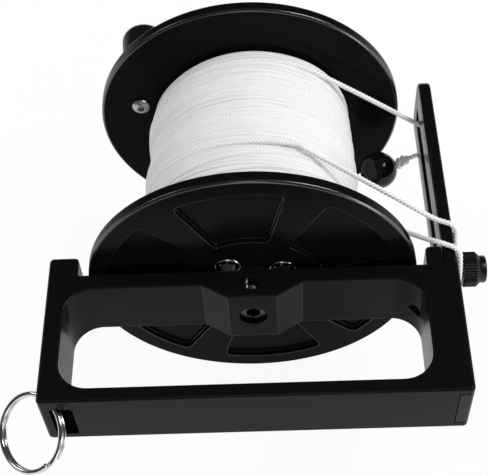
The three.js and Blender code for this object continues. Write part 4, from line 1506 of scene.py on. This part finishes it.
@dataclass
class Yoke:
    """The frame: grip, legs, cross bar with its boss, and the two ears."""

    left: float = -73.0
    right: float = 73.5
    ear_in: float = 62.4
    ear_tip: float = 5.0
    bar_back: float = -2.6
    bar_front: float = -8.9
    boss: float = -14.3
    boss_foot: float = 19.5
    boss_face: float = 8.7
    loop_front: float = -48.4
    grip: float = -53.7
    loop_left: float = -66.5
    loop_right: float = 60.8
    loop_round: float = 10.5
    ear_round: float = 1.6
    grip_round: float = 1.8
    half: float = 13.3
    chamfer: float = 0.7
    loop_chamfer: float = 0.4
    axle_head: float = 5.1
    axle_hole: float = 4.3
    set_screw_hole: float = 2.6
    tether_hole: float = 2.4
    slot_drop: float = 1.2
    slot_half: float = 8.8
    slot_long: float = 7.9
    slot_round: float = 1.4
    slot_slant: float = 3.2
    post: float = 3.6
    post_round: float = 1.0
    plug_seat: float = 68.3
    plug_deep: float = 6.8
    plug_half: float = 10.2
    arm_seat: float = 68.1
    arm_foot: float = -2.0
    head_deep: float = 10.1
    bore_long: float = 16.0
    set_screw_long: float = 20.0
    tether_back: float = 10.2
    tether_z: float = -1.5
    # How far cutters stand over and pieces lap, and places clear of the frame where cutters start and end
    over: float = 4.0
    lap: float = 1.0
    past_right: float = 78.0
    past_tip: float = 10.0
    past_side: float = 18.0
    in_loop: float = 50.0
    in_seat: float = 56.0

    def build(self) -> None:
        """Makes the frame and dresses it."""
        body = self.blank()
        self.bores(body)
        self.ring_slot(body)
        across, along = (self.plug_seat, self.past_right), (self.grip - self.over, self.grip + self.plug_deep)
        plug = Bench.block("plug_seat", across, along, (-self.plug_half, self.plug_half))
        Bench.work(body, Joinery.CUT, plug)
        Bench.soften(body, 0.22, 2, 28)
        settle(body, Body.FRAME, Anodised(), "yoke_frame")

    def blank(self) -> bpy.types.Object:
        """Shapes the outline, the hand loop, the boss and the chamfers.

        Returns:
            The frame before its holes.
        """
        o = self.over
        whole, cut = (-self.half, self.half), (-self.half - o, self.half + o)
        body = Bench.block("frame_body", (self.left, self.right), (self.grip, self.ear_tip), whole)
        seat = Bench.block("spool_seat", (-self.ear_in, self.ear_in), (self.bar_back, self.ear_tip + o), cut)
        across, along = (self.loop_left, self.loop_right), (self.loop_front, self.bar_front)
        loop = Bench.block("loop_cut", across, along, cut)
        Bench.round_edges(loop, self.loop_round, 14, self.upright)
        Bench.work(body, Joinery.CUT, seat, loop)
        Bench.work(body, Joinery.FUSE, self.boss_block())
        tip, front = self.ear_tip - NEAR, self.grip + NEAR
        Bench.round_edges(body, self.ear_round, 6, lambda a, b: self.upright(a, b) and min(a.y, b.y) > tip)
        Bench.round_edges(body, self.grip_round, 6, lambda a, b: self.upright(a, b) and max(a.y, b.y) < front)
        rim = self.rim_of(body)
        Bench.round_edges(body, self.chamfer, 1, lambda a, b: self.at_rim(a, b, rim, False))
        Bench.round_edges(body, self.loop_chamfer, 1, lambda a, b: self.at_rim(a, b, rim, True))
        return body

    def boss_block(self) -> bpy.types.Object:
        """Shapes the boss, whose sides slant in toward its front.

        Returns:
            The boss.
        """
        depth = (self.boss, self.bar_front + self.lap)
        boss = Bench.block("boss", (-self.boss_foot, self.boss_foot), depth, (-self.half, self.half))
        for vertex in boss.data.vertices:
            place = REEL.back(vertex.co)
            if place.y < self.bar_front:
                vertex.co.x = REEL.origin.x + math.copysign(self.boss_face, place.x) * MM
        return boss

    def upright(self, a: Vector, b: Vector) -> bool:
        """Says whether an edge runs through the frame's height."""
        return abs(a.z - b.z) > self.half

    def by_loop(self, place: Vector) -> bool:
        """Says whether a place in reel millimetres lies on the hand loop's wall."""
        across = self.loop_left - NEAR < place.x < self.loop_right + NEAR
        return across and self.loop_front - NEAR < place.y < self.bar_front + NEAR

    def at_rim(self, a: Vector, b: Vector, rim: set, loop: bool) -> bool:
        """Picks the edges between the flat sides and the walls.

        Args:
            a: The edge's first end in reel millimetres.
            b: Its second end.
            rim: The names of the walls' edges.
            loop: Whether the hand loop's edges are wanted, or all the others.

        Returns:
            Whether the edge is picked.
        """
        flat = abs(abs(a.z) - self.half) < FLUSH and abs(a.z - b.z) < FLUSH and self.key(a, b) in rim
        return flat and (self.by_loop(a) and self.by_loop(b)) == loop

    @staticmethod
    def key(a: Vector, b: Vector) -> tuple:
        """Names an edge by its two ends.

        Args:
            a: The edge's first end in reel millimetres.
            b: Its second end.

        Returns:
            The rounded ends in order.
        """
        return tuple(sorted((tuple(round(v, 2) for v in a), tuple(round(v, 2) for v in b))))

    def rim_of(self, body: bpy.types.Object) -> set:
        """Finds the edges of the side walls, on the outline and round the loop.

        Args:
            body: The frame.

        Returns:
            The edges' names.
        """
        mesh = body.data
        walls: set[tuple[int, int]] = set()
        for face in mesh.polygons:
            if abs(face.normal.z) < 0.5:
                walls.update(tuple(sorted(e)) for e in face.edge_keys)
        places = [REEL.back(v.co) for v in mesh.vertices]
        return {self.key(places[p], places[q]) for p, q in walls}

    def bores(self, body: bpy.types.Object) -> None:
        """Drills the axle's bore, the screw holes and the tether hole, and cuts the guide arm's seat.

        Args:
            body: The frame.
        """
        o = self.over
        head = (0, self.boss - o, 0)
        set_screw = (0, (self.boss + self.bar_back) / 2, 0)
        lock = (self.in_seat, REEL.LOCK_Y, REEL.LOCK_Z)
        tether = (self.in_loop, self.bar_back - self.tether_back, self.tether_z)
        lock_long, tether_long = self.past_right - lock[0], self.past_right - tether[0]
        across, along = (self.arm_seat, self.past_right), (self.arm_foot, self.past_tip)
        tools = [
            Bench.rod("axle_head_bore", Axis.Y, self.axle_head, head, o + self.head_deep, 64),
            Bench.rod("axle_bore", Axis.Y, self.axle_hole, (0, self.boss, 0), self.bore_long, 64),
            Bench.rod("set_screw_bore", Axis.Z, self.set_screw_hole, set_screw, self.set_screw_long, 48),
            Bench.rod("lock_bore", Axis.X, REEL.LOCK_HOLE, lock, lock_long, 40),
            Bench.rod("tether_bore", Axis.X, self.tether_hole, tether, tether_long, 48),
            Bench.block("arm_seat", across, along, (-self.past_side, self.past_side)),
        ]
        Bench.work(body, Joinery.CUT, *tools)

    def ring_slot(self, body: bpy.types.Object) -> None:
        """Cuts the slot through the left corner and leaves the post that the split ring goes round.

        Args:
            body: The frame.
        """
        o = self.over
        low, high = -self.slot_half - self.slot_drop, self.slot_half - self.slot_drop
        side, front = self.left + self.post, self.grip + self.post
        slot_side, slot_back = side + self.slot_long, front + self.slot_long
        slot = Bench.block("corner_slot", (self.left - o, slot_side), (self.grip - o, slot_back), (low, high))
        Bench.take(slot)
        bpy.ops.object.mode_set(mode="EDIT")
        bpy.ops.mesh.select_all(action="SELECT")
        corner = REEL.at(slot_side, self.grip + self.slot_slant, 0)
        bpy.ops.mesh.bisect(plane_co=corner, plane_no=(1, 1, 0), use_fill=True, clear_outer=True)
        bpy.ops.object.mode_set(mode="OBJECT")

        def inner(a: Vector, b: Vector) -> bool:
            """Picks the level edges at the slot's two inner ends."""
            deep = min(a.x, b.x) > slot_side - NEAR or min(a.y, b.y) > slot_back - NEAR
            return abs(a.z - b.z) < FLUSH and deep

        def post_corner(a: Vector, b: Vector) -> bool:
            """Picks the post's one corner that stands in the slot."""
            return abs(a.z - b.z) > self.slot_half and min(a.x, a.y - self.grip + self.left) > self.left

        Bench.round_edges(slot, self.slot_round, 5, inner)
        taller = (low - self.lap, high + self.lap)
        pillar = Bench.block("corner_post", (self.left - 2 * o, side), (self.grip - 2 * o, front), taller)
        Bench.round_edges(pillar, self.post_round, 6, post_corner)
        Bench.work(slot, Joinery.CUT, pillar)
        Bench.work(body, Joinery.CUT, slot)


@dataclass
class Plug:
    """The plug that closes the grip's right corner, flush with the frame."""

    inner: float = 68.6
    side: float = 73.5
    front: float = -53.7
    back: float = -47.2
    half: float = 9.9
    corner: float = 1.8

    def build(self) -> None:
        """Makes the plug and dresses it."""
        across, along = (self.inner, self.side), (self.front, self.back)
        plug = Bench.block("grip_plug", across, along, (-self.half, self.half))
        Bench.round_edges(plug, self.corner, 6, self.outer_corner)
        Bench.soften(plug, 0.2, 2, 28)
        settle(plug, Body.FRAME, Moulded(), "corner_plug")

    def outer_corner(self, a: Vector, b: Vector) -> bool:
        """Says whether an edge is the upright one at the frame's corner."""
        return abs(a.z - b.z) > self.half and a.x > self.side - NEAR and a.y < self.front + NEAR


@dataclass
class GuideArm:
    """The flat arm on edge with its long slot, and its two screws."""

    tail: float = -1.7
    tip: float = 87.6
    tip_round: float = 6.0
    slot_foot: float = 5.0
    slot_start: float = 5.6
    slot_end: float = 82.0
    inner: float = 68.4
    outer: float = 73.2
    half: float = 13.3
    slot_half: float = 3.6
    slot_drop: float = 1.5
    slot_edge: float = 0.3
    outline_edge: float = 1.1
    lean: float = 0.009
    lean_start: float = 4.0
    over: float = 4.0
    # Places clear of the arm where the cutters of the lock's bore and of the screw seats start and end
    bore_start: float = 64.0
    bore_end: float = 78.0
    seat_start: float = 60.0
    seat_end: float = 76.0
    screw_off: float = 9.2
    screw_hole: float = 1.7
    screw_sink: float = 3.1
    screw_start: float = 64.2
    screw_shank: float = 1.4
    screw_neck: float = 71.8
    screw_head: float = 2.8
    screw_edge: float = 0.1
    socket: float = 1.16
    socket_floor: float = 72.0

    def build(self) -> None:
        """Makes the arm and its screws and dresses them."""
        tip = self.tip - NEAR
        across, along = (self.inner, self.outer), (self.tail, self.tip)
        arm = Bench.block("line_arm", across, along, (-self.half, self.half))
        Bench.round_edges(arm, self.tip_round, 9, lambda a, b: abs(a.x - b.x) > 4 and min(a.y, b.y) > tip)
        Bench.work(arm, Joinery.CUT, self.slot())
        for vertex in arm.data.vertices:
            vertex.co.x -= self.lean * max(0.0, (vertex.co - REEL.origin).y - self.lean_start * MM)
        Bench.round_edges(arm, self.slot_edge, 2, lambda a, b: self.on_face(a, b) and self.in_slot(a, b))
        Bench.round_edges(arm, self.outline_edge, 3, lambda a, b: self.on_face(a, b) and not self.in_slot(a))
        place, long = (self.bore_start, REEL.LOCK_Y, REEL.LOCK_Z), self.bore_end - self.bore_start
        Bench.work(arm, Joinery.CUT, Bench.rod("lock_bore", Axis.X, REEL.LOCK_HOLE, place, long, 40))
        screws = ((self.screw_off, "guide_screw_upper"), (-self.screw_off, "guide_screw_lower"))
        start, end, hole = self.seat_start, self.seat_end, self.screw_hole
        seat = [
            (0, start), (hole, start), (hole, self.screw_neck),
            (self.screw_sink, self.outer), (self.screw_sink, end), (0, end),
        ]
        for z, _ in screws:
            Bench.work(arm, Joinery.CUT, Bench.lathe("screw_seat", Axis.X, (0, REEL.LOCK_Y, z), seat, 40))
        Bench.soften(arm, 0.12, 2, 28)
        settle(arm, Body.FRAME, Anodised(), "guide_arm")
        for z, node in screws:
            self.screw(z, node)

    def on_face(self, a: Vector, b: Vector) -> bool:
        """Says whether an edge lies on one of the arm's two leaning faces."""
        levels = [p.x + self.lean * max(0.0, p.y - self.lean_start) for p in (a, b)]
        return any(all(abs(level - x) < 2 * FLUSH for level in levels) for x in (self.inner, self.outer))

    def in_slot(self, *places: Vector) -> bool:
        """Says whether places are on the slot's wall.

        Args:
            places: Places in reel millimetres.

        Returns:
            Whether all of them are.
        """
        return all(
            abs(p.z + self.slot_drop) < self.slot_half + NEAR
            and self.slot_foot < p.y < self.slot_end + NEAR
            for p in places
        )

    def slot(self) -> bpy.types.Object:
        """Shapes the cutter of the long slot.

        Returns:
            The cutter.
        """
        low, high = -self.slot_drop - self.slot_half, -self.slot_drop + self.slot_half
        through_arm = (self.inner - self.over, self.outer + self.over)
        cutter = Bench.block("slot_cut", through_arm, (self.slot_start, self.slot_end), (low, high))
        return Bench.round_edges(cutter, self.slot_half * 0.999, 14, lambda a, b: abs(a.x - b.x) > 8)

    def screw(self, z: float, node: str) -> None:
        """Makes one countersunk screw.

        Args:
            z: Its height above the axle.
            node: The solid that it stands for.
        """
        start, shank, top, edge = self.screw_start, self.screw_shank, self.outer, self.screw_edge
        profile = [
            (0, start), (shank, start), (shank, self.screw_neck),
            (self.screw_head, top - edge), (self.screw_head - edge, top), (0, top),
        ]
        screw = Bench.lathe(f"{node}_head", Axis.X, (0, REEL.LOCK_Y, z), profile, 48)
        floor = (self.socket_floor, REEL.LOCK_Y, z)
        Bench.work(screw, Joinery.CUT, Bench.rod("socket", Axis.X, self.socket, floor, self.over, 6))
        Bench.soften(screw, 0.05, 1, 40)
        settle(screw, Body.FRAME, Steel(), node)


@dataclass
class Flange:
    """A spool flange: broken rim, six shallow pockets and four screw seats on its outer side."""

    name: str
    node: str
    turned_over: bool
    pocket_start: float
    radius: float = 60.0
    thick: float = 4.9
    rim: float = 0.7
    bore: float = 6.4
    hub: float = 20.0
    hub_long: float = 4.0
    far_out: float = 85.0
    seat: float = 5.2
    seat_deep: float = 5.2
    screw_hole: float = 3.2
    knob_hole: float = 2.2
    hole_long: float = 12.0
    pocket_in: float = 25.8
    pocket_out: float = 52.7
    pocket_deep: float = 2.0
    pocket_sweep: float = 43.0
    pocket_round: float = 3.0
    over: float = 4.0

    def build(self) -> None:
        """Makes the flange and dresses it."""
        disc = self.turned()
        for n in range(6):
            Bench.work(disc, Joinery.CUT, self.pocket(self.pocket_start + 60 * n))
        for x, z in REEL.screw_places():
            seat = Bench.rod("seat", Axis.Y, self.seat, (x, -self.over, z), self.over + self.seat_deep, 48)
            hole = Bench.rod("hole", Axis.Y, self.screw_hole, (x, 0, z), self.hole_long, 32)
            Bench.work(disc, Joinery.CUT, seat, hole)
        if self.turned_over:
            disc.data.transform(REEL.carry(HALF_TURN, (0, self.far_out, 0)))
            inside = (REEL.KNOB_X, self.far_out - self.thick - self.over, REEL.KNOB_Z)
            hole = Bench.rod("knob_hole", Axis.Y, self.knob_hole, inside, self.hole_long, 32)
            Bench.work(disc, Joinery.CUT, hole)
        Bench.soften(disc, 0.24, 2, 28)
        settle(disc, Body.SPOOL, Anodised.turned(), self.node)

    def turned(self) -> bpy.types.Object:
        """Turns the disc with its hub and breaks its rim.

        Returns:
            The flange before its cuts.
        """
        face, hub = self.thick, self.thick + self.hub_long
        profile = [
            (self.bore, 0), (self.radius, 0), (self.radius, face),
            (self.hub, face), (self.hub, hub), (self.bore, hub), (self.bore, 0),
        ]
        disc = Bench.lathe(self.name, Axis.Y, (0, 0, 0), profile, 144)

        def at_rim(a: Vector, b: Vector) -> bool:
            """Picks the two edges that run round the rim."""
            inner = min(math.hypot(a.x, a.z), math.hypot(b.x, b.z))
            return inner > self.radius - NEAR and abs(a.y - b.y) < FLUSH

        return Bench.round_edges(disc, self.rim, 1, at_rim, bright=True)

    def pocket(self, bearing: float) -> bpy.types.Object:
        """Shapes one pocket's cutter: a block swept round the axle with its corners rounded.

        Args:
            bearing: Degrees from +X to its middle.

        Returns:
            The cutter.
        """
        Bench.clear()
        bpy.ops.mesh.primitive_plane_add(size=1, location=(0, 0, 0))
        cutter = Bench.place("pocket")
        section = [(r, y) for y in (-self.over, self.pocket_deep) for r in (self.pocket_in, self.pocket_out)]
        for vertex, (r, y) in zip(cutter.data.vertices, section):
            vertex.co = REEL.at(r, y, 0)
        bpy.ops.object.mode_set(mode="EDIT")
        bpy.ops.mesh.select_all(action="SELECT")
        bpy.ops.mesh.spin(
            steps=20, angle=math.radians(self.pocket_sweep), center=REEL.origin, axis=Axis.Y.value
        )
        bpy.ops.mesh.select_all(action="SELECT")
        bpy.ops.mesh.normals_make_consistent(inside=False)
        bpy.ops.object.mode_set(mode="OBJECT")
        Bench.round_edges(cutter, self.pocket_round, 6, self.pocket_corner)
        turn = Matrix.Rotation(math.radians(self.pocket_sweep / 2 - bearing), 4, "Y")
        cutter.data.transform(REEL.carry(turn))
        return cutter

    def pocket_corner(self, a: Vector, b: Vector) -> bool:
        """Picks the four upright corners of a pocket's cutter.

        Args:
            a: An edge's first end in reel millimetres.
            b: Its second end.

        Returns:
            Whether the edge is one of them.
        """
        bearing = abs(math.degrees(math.atan2(a.z, a.x)))
        at_end = bearing < 0.5 or abs(bearing - self.pocket_sweep) < 0.5
        return abs(a.y - b.y) >= 5 and at_end


@dataclass
class HubScrews:
    """The socket screws that hold the flanges to the drum, with knurled heads."""

    head: float = 4.9
    edge: float = 0.5
    groove: float = 0.28
    top: float = -0.15
    neck: float = 4.9
    shank: float = 2.9
    end: float = 18.9
    teeth: int = 36
    socket: float = 2.89
    socket_floor: float = 3.2
    over: float = 2.0
    far_out: float = 84.6

    def build(self) -> None:
        """Makes one screw and copies it to its eight places."""
        master = self.master()
        turned_over = REEL.carry(HALF_TURN, (0, self.far_out, 0))
        for side, over in (("near", Matrix.Identity(4)), ("far", turned_over)):
            for n, (x, z) in enumerate(REEL.screw_places(), 1):
                screw = Bench.bring(f"hub_screw_{side}_{n}", master.data.copy())
                screw.data.transform(over @ REEL.carry(Matrix.Translation(Vector((x, 0, z)) * MM)))
                settle(screw, Body.SPOOL, Steel.screws(), f"flange_screw_{side}_{n}")
        bpy.data.objects.remove(master)

    def master(self) -> bpy.types.Object:
        """Turns one screw on the axle's line, knurls its head and sinks its socket.

        Returns:
            The screw.
        """
        profile = [
            (0, self.top), (self.head - self.edge, self.top), (self.head, self.top + self.edge),
            (self.head, self.neck), (self.shank, self.neck), (self.shank, self.end), (0, self.end),
        ]
        screw = Bench.lathe("hub_screw", Axis.Y, (0, 0, 0), profile, self.teeth * 2)
        for vertex in screw.data.vertices:
            place = REEL.back(vertex.co)
            r = math.hypot(place.x, place.z)
            step = round(math.degrees(math.atan2(place.z, place.x)) / (180 / self.teeth))
            if r > self.head - NEAR and step % 2:
                shrink = (self.head - self.groove) / r
                vertex.co.x = REEL.origin.x + place.x * shrink * MM
                vertex.co.z = REEL.origin.z + place.z * shrink * MM
        deep = self.over + self.socket_floor
        Bench.work(screw, Joinery.CUT, Bench.rod("socket", Axis.Y, self.socket, (0, -self.over, 0), deep, 6))
        Bench.soften(screw, 0.08, 1, 50)
        return screw


@dataclass
class WindingKnob:
    """The waisted knob on the far flange."""

    foot: float = 86.2
    end: float = 119.6
    radius: float = 9.2
    foot_round: float = 1.5
    waist: float = 0.7
    round_end: float = 5.0
    bore: float = 3.5
    end_bore: float = 5.5
    end_deep: float = 2.9

    def build(self) -> None:
        """Turns the knob and dresses it."""
        knob = Bench.lathe("winding_grip", Axis.Y, (REEL.KNOB_X, 0, REEL.KNOB_Z), self.profile(), 96)
        Bench.soften(knob, 0.1, 2, 40)
        settle(knob, Body.KNOB, Moulded(), "winding_knob")

    def profile(self) -> list[tuple[float, float]]:
        """Draws the knob's section: rounded foot, waist, rounded end and the bore with its step.

        Returns:
            Radius and place along the axle, point by point.
        """
        f, top = self.foot_round, self.round_end
        start, stop = self.foot + f, self.end - top
        points = [(self.bore, self.foot), (self.radius - f, self.foot)]
        for a in np.linspace(0.3, 1.4, 4):
            points.append((self.radius - f * (1 - math.sin(a)), self.foot + f * (1 - math.cos(a))))
        for share in np.linspace(0, 1, 14)[:-1]:
            waist = self.waist * math.sin(math.pi * share)
            points.append((self.radius - waist, start + (stop - start) * share))
        for a in np.linspace(0, math.acos(1 - (self.radius - self.end_bore) / top), 12):
            points.append((self.radius - top * (1 - math.cos(a)), stop + top * math.sin(a)))
        step = self.end - self.end_deep
        return points + [(self.end_bore, step), (self.bore, step), (self.bore, self.foot)]


@dataclass
class KnobScrew:
    """The button-head screw of the winding knob, on the far flange's inner side."""

    neck: float = 79.8
    rise: float = 2.1
    edge: float = 0.3
    head: float = 3.7
    shank: float = 1.9
    long: float = 20.0
    socket: float = 1.45
    socket_floor: float = 0.6
    over: float = 4.0

    def build(self) -> None:
        """Turns the screw, sinks its socket and dresses it."""
        dome = self.rise - self.edge
        profile = [(0, self.neck - self.rise)]
        for a in np.linspace(0.2, math.pi / 2, 10):
            profile.append((self.head * math.sin(a), self.neck - self.edge - dome * math.cos(a)))
        end = self.neck + self.long
        profile += [(self.head, self.neck), (self.shank, self.neck), (self.shank, end), (0, end)]
        screw = Bench.lathe("knob_bolt", Axis.Y, (REEL.KNOB_X, 0, REEL.KNOB_Z), profile, 64)
        start, deep = (REEL.KNOB_X, self.neck - self.over, REEL.KNOB_Z), self.over - self.socket_floor
        Bench.work(screw, Joinery.CUT, Bench.rod("socket", Axis.Y, self.socket, start, deep, 6))
        Bench.soften(screw, 0.06, 1, 45)
        settle(screw, Body.SPOOL, Steel.button(), "knob_screw")


@dataclass
class Lock:
    """The knurled lock knob on its screw."""

    start: float = 76.25
    long: float = 6.2
    radius: float = 6.4
    foot_edge: float = 0.4
    bevel: float = 1.4
    nose: float = 5.0
    nose_long: float = 2.4
    nose_round: float = 0.9
    bore_long: float = 5.3
    teeth: int = 36
    notch: float = 0.38
    flank: float = 0.12

    def build(self) -> None:
        """Turns the knob, knurls it and dresses it."""
        rim = self.start + self.long
        place = (0, REEL.LOCK_Y, REEL.LOCK_Z)
        knob = Bench.lathe("lock_grip", Axis.X, place, self.profile(rim), self.teeth * 4)
        for vertex in knob.data.vertices:
            place = REEL.back(vertex.co)
            y, z = place.y - REEL.LOCK_Y, place.z - REEL.LOCK_Z
            r = math.hypot(y, z)
            if r > self.radius - 0.5 and place.x < rim - self.bevel + NEAR:
                step = round(math.degrees(math.atan2(z, y)) / (90 / self.teeth))
                depth = self.notch if step % 4 == 0 else self.flank if step % 2 else 0.0
                shrink = 1 - depth / r
                vertex.co.y = REEL.origin.y + (REEL.LOCK_Y + y * shrink) * MM
                vertex.co.z = REEL.origin.z + (REEL.LOCK_Z + z * shrink) * MM
        Bench.soften(knob, 0, 1, 25)
        settle(knob, Body.LOCK, Anodised.knurled(), "lock_knob")

    def profile(self, rim: float) -> list[tuple[float, float]]:
        """Draws the knob's section: knurled barrel, bevel and rounded nose, with the screw's bore.

        Args:
            rim: Where the barrel ends, in millimetres along X.

        Returns:
            Radius and place along the screw, point by point.
        """
        bore, edge, nose = REEL.LOCK_HOLE, self.foot_edge, self.nose_round
        tip = rim + self.nose_long
        points = [
            (bore, self.start), (self.radius - edge, self.start), (self.radius, self.start + edge),
            (self.radius, rim - self.bevel), (self.radius - self.bevel, rim),
            (self.nose, rim), (self.nose, tip - nose),
        ]
        for a in (0.5, 1.0, 1.57):
            points.append((self.nose - nose * (1 - math.cos(a)), tip - nose + nose * math.sin(a)))
        deep = self.start + self.bore_long
        return points + [(0, tip), (0, deep), (bore, deep), (bore, self.start)]


@dataclass
class SplitRing:
    """The split ring: two turns of bright flat wire on the grip's corner post."""

    centre: tuple = (-76.6, -56.9, -2.0)
    outer: float = 14.1
    wire_wide: float = 1.75
    wire_thick: float = 1.3
    pitch: float = 1.6
    turns: float = 1.96
    first_end: float = -48.0
    azimuth: float = 220.0
    elevation: float = 48.5

    def build(self) -> None:
        """Winds the ring and dresses it."""
        wire = Tube(0.5, sides=16)
        middle = self.outer - self.wire_wide / 2
        turn = np.linspace(0, self.turns, 240)
        angle = 2 * math.pi * turn + math.radians(self.first_end)
        lift = (turn - self.turns / 2) * self.pitch
        ring = wire.sweep("key_ring", [np.stack([middle * np.cos(angle), middle * np.sin(angle), lift], -1)])
        wide = self.wire_wide / 2 / wire.radius
        tall = self.wire_thick / 2 / wire.radius
        for n, vertex in enumerate(ring.data.vertices):
            place = REEL.back(vertex.co)
            out = Vector((place.x, place.y, 0))
            line = out.normalized() * middle
            rise = lift[min(n // wire.sides, len(lift) - 1)]
            up = Vector((0, 0, rise + (place.z - rise) * tall))
            vertex.co = REEL.origin + (line + (out - line) * wide + up) * MM
        flat, way = math.radians(self.elevation), math.radians(self.azimuth)
        axis = Vector((math.cos(flat) * math.cos(way), math.cos(flat) * math.sin(way), math.sin(flat)))
        tilt = Vector((0, 0, 1)).rotation_difference(axis).to_matrix().to_4x4()
        ring.data.transform(REEL.carry(tilt, self.centre))
        settle(ring, Body.RING, Polished(), "split_ring")


def main() -> None:
    """Builds the reel's dress in order."""
    logging.basicConfig(level=logging.INFO, format="%(name)s %(message)s")
    Viewpoint().build()
    FreeLine().build()
    Studio().build()
    Winding().build()
    Yoke().build()
    Plug().build()
    GuideArm().build()
    Flange("near_disc", "near_flange", turned_over=False, pocket_start=37.5).build()
    knob_from_minus_x = 180 - REEL.KNOB_BEARING
    Flange("far_disc", "far_flange", turned_over=True, pocket_start=knob_from_minus_x - 30).build()
    HubScrews().build()
    WindingKnob().build()
    KnobScrew().build()
    Lock().build()
    SplitRing().build()
    dress(Anodised(), "spool_drum")
    dress(Steel.dark_axle(), "axle")
    dress(Steel.bright(), "axle_set_screw")
    dress(Steel(), "end_washer", "end_nut", "knob_post", "knob_washer", "lock_screw")
    dress(Acetal(), "thrust_washer", "near_bush", "far_bush", "brake_pad")


if __name__ == "__main__":
    main()
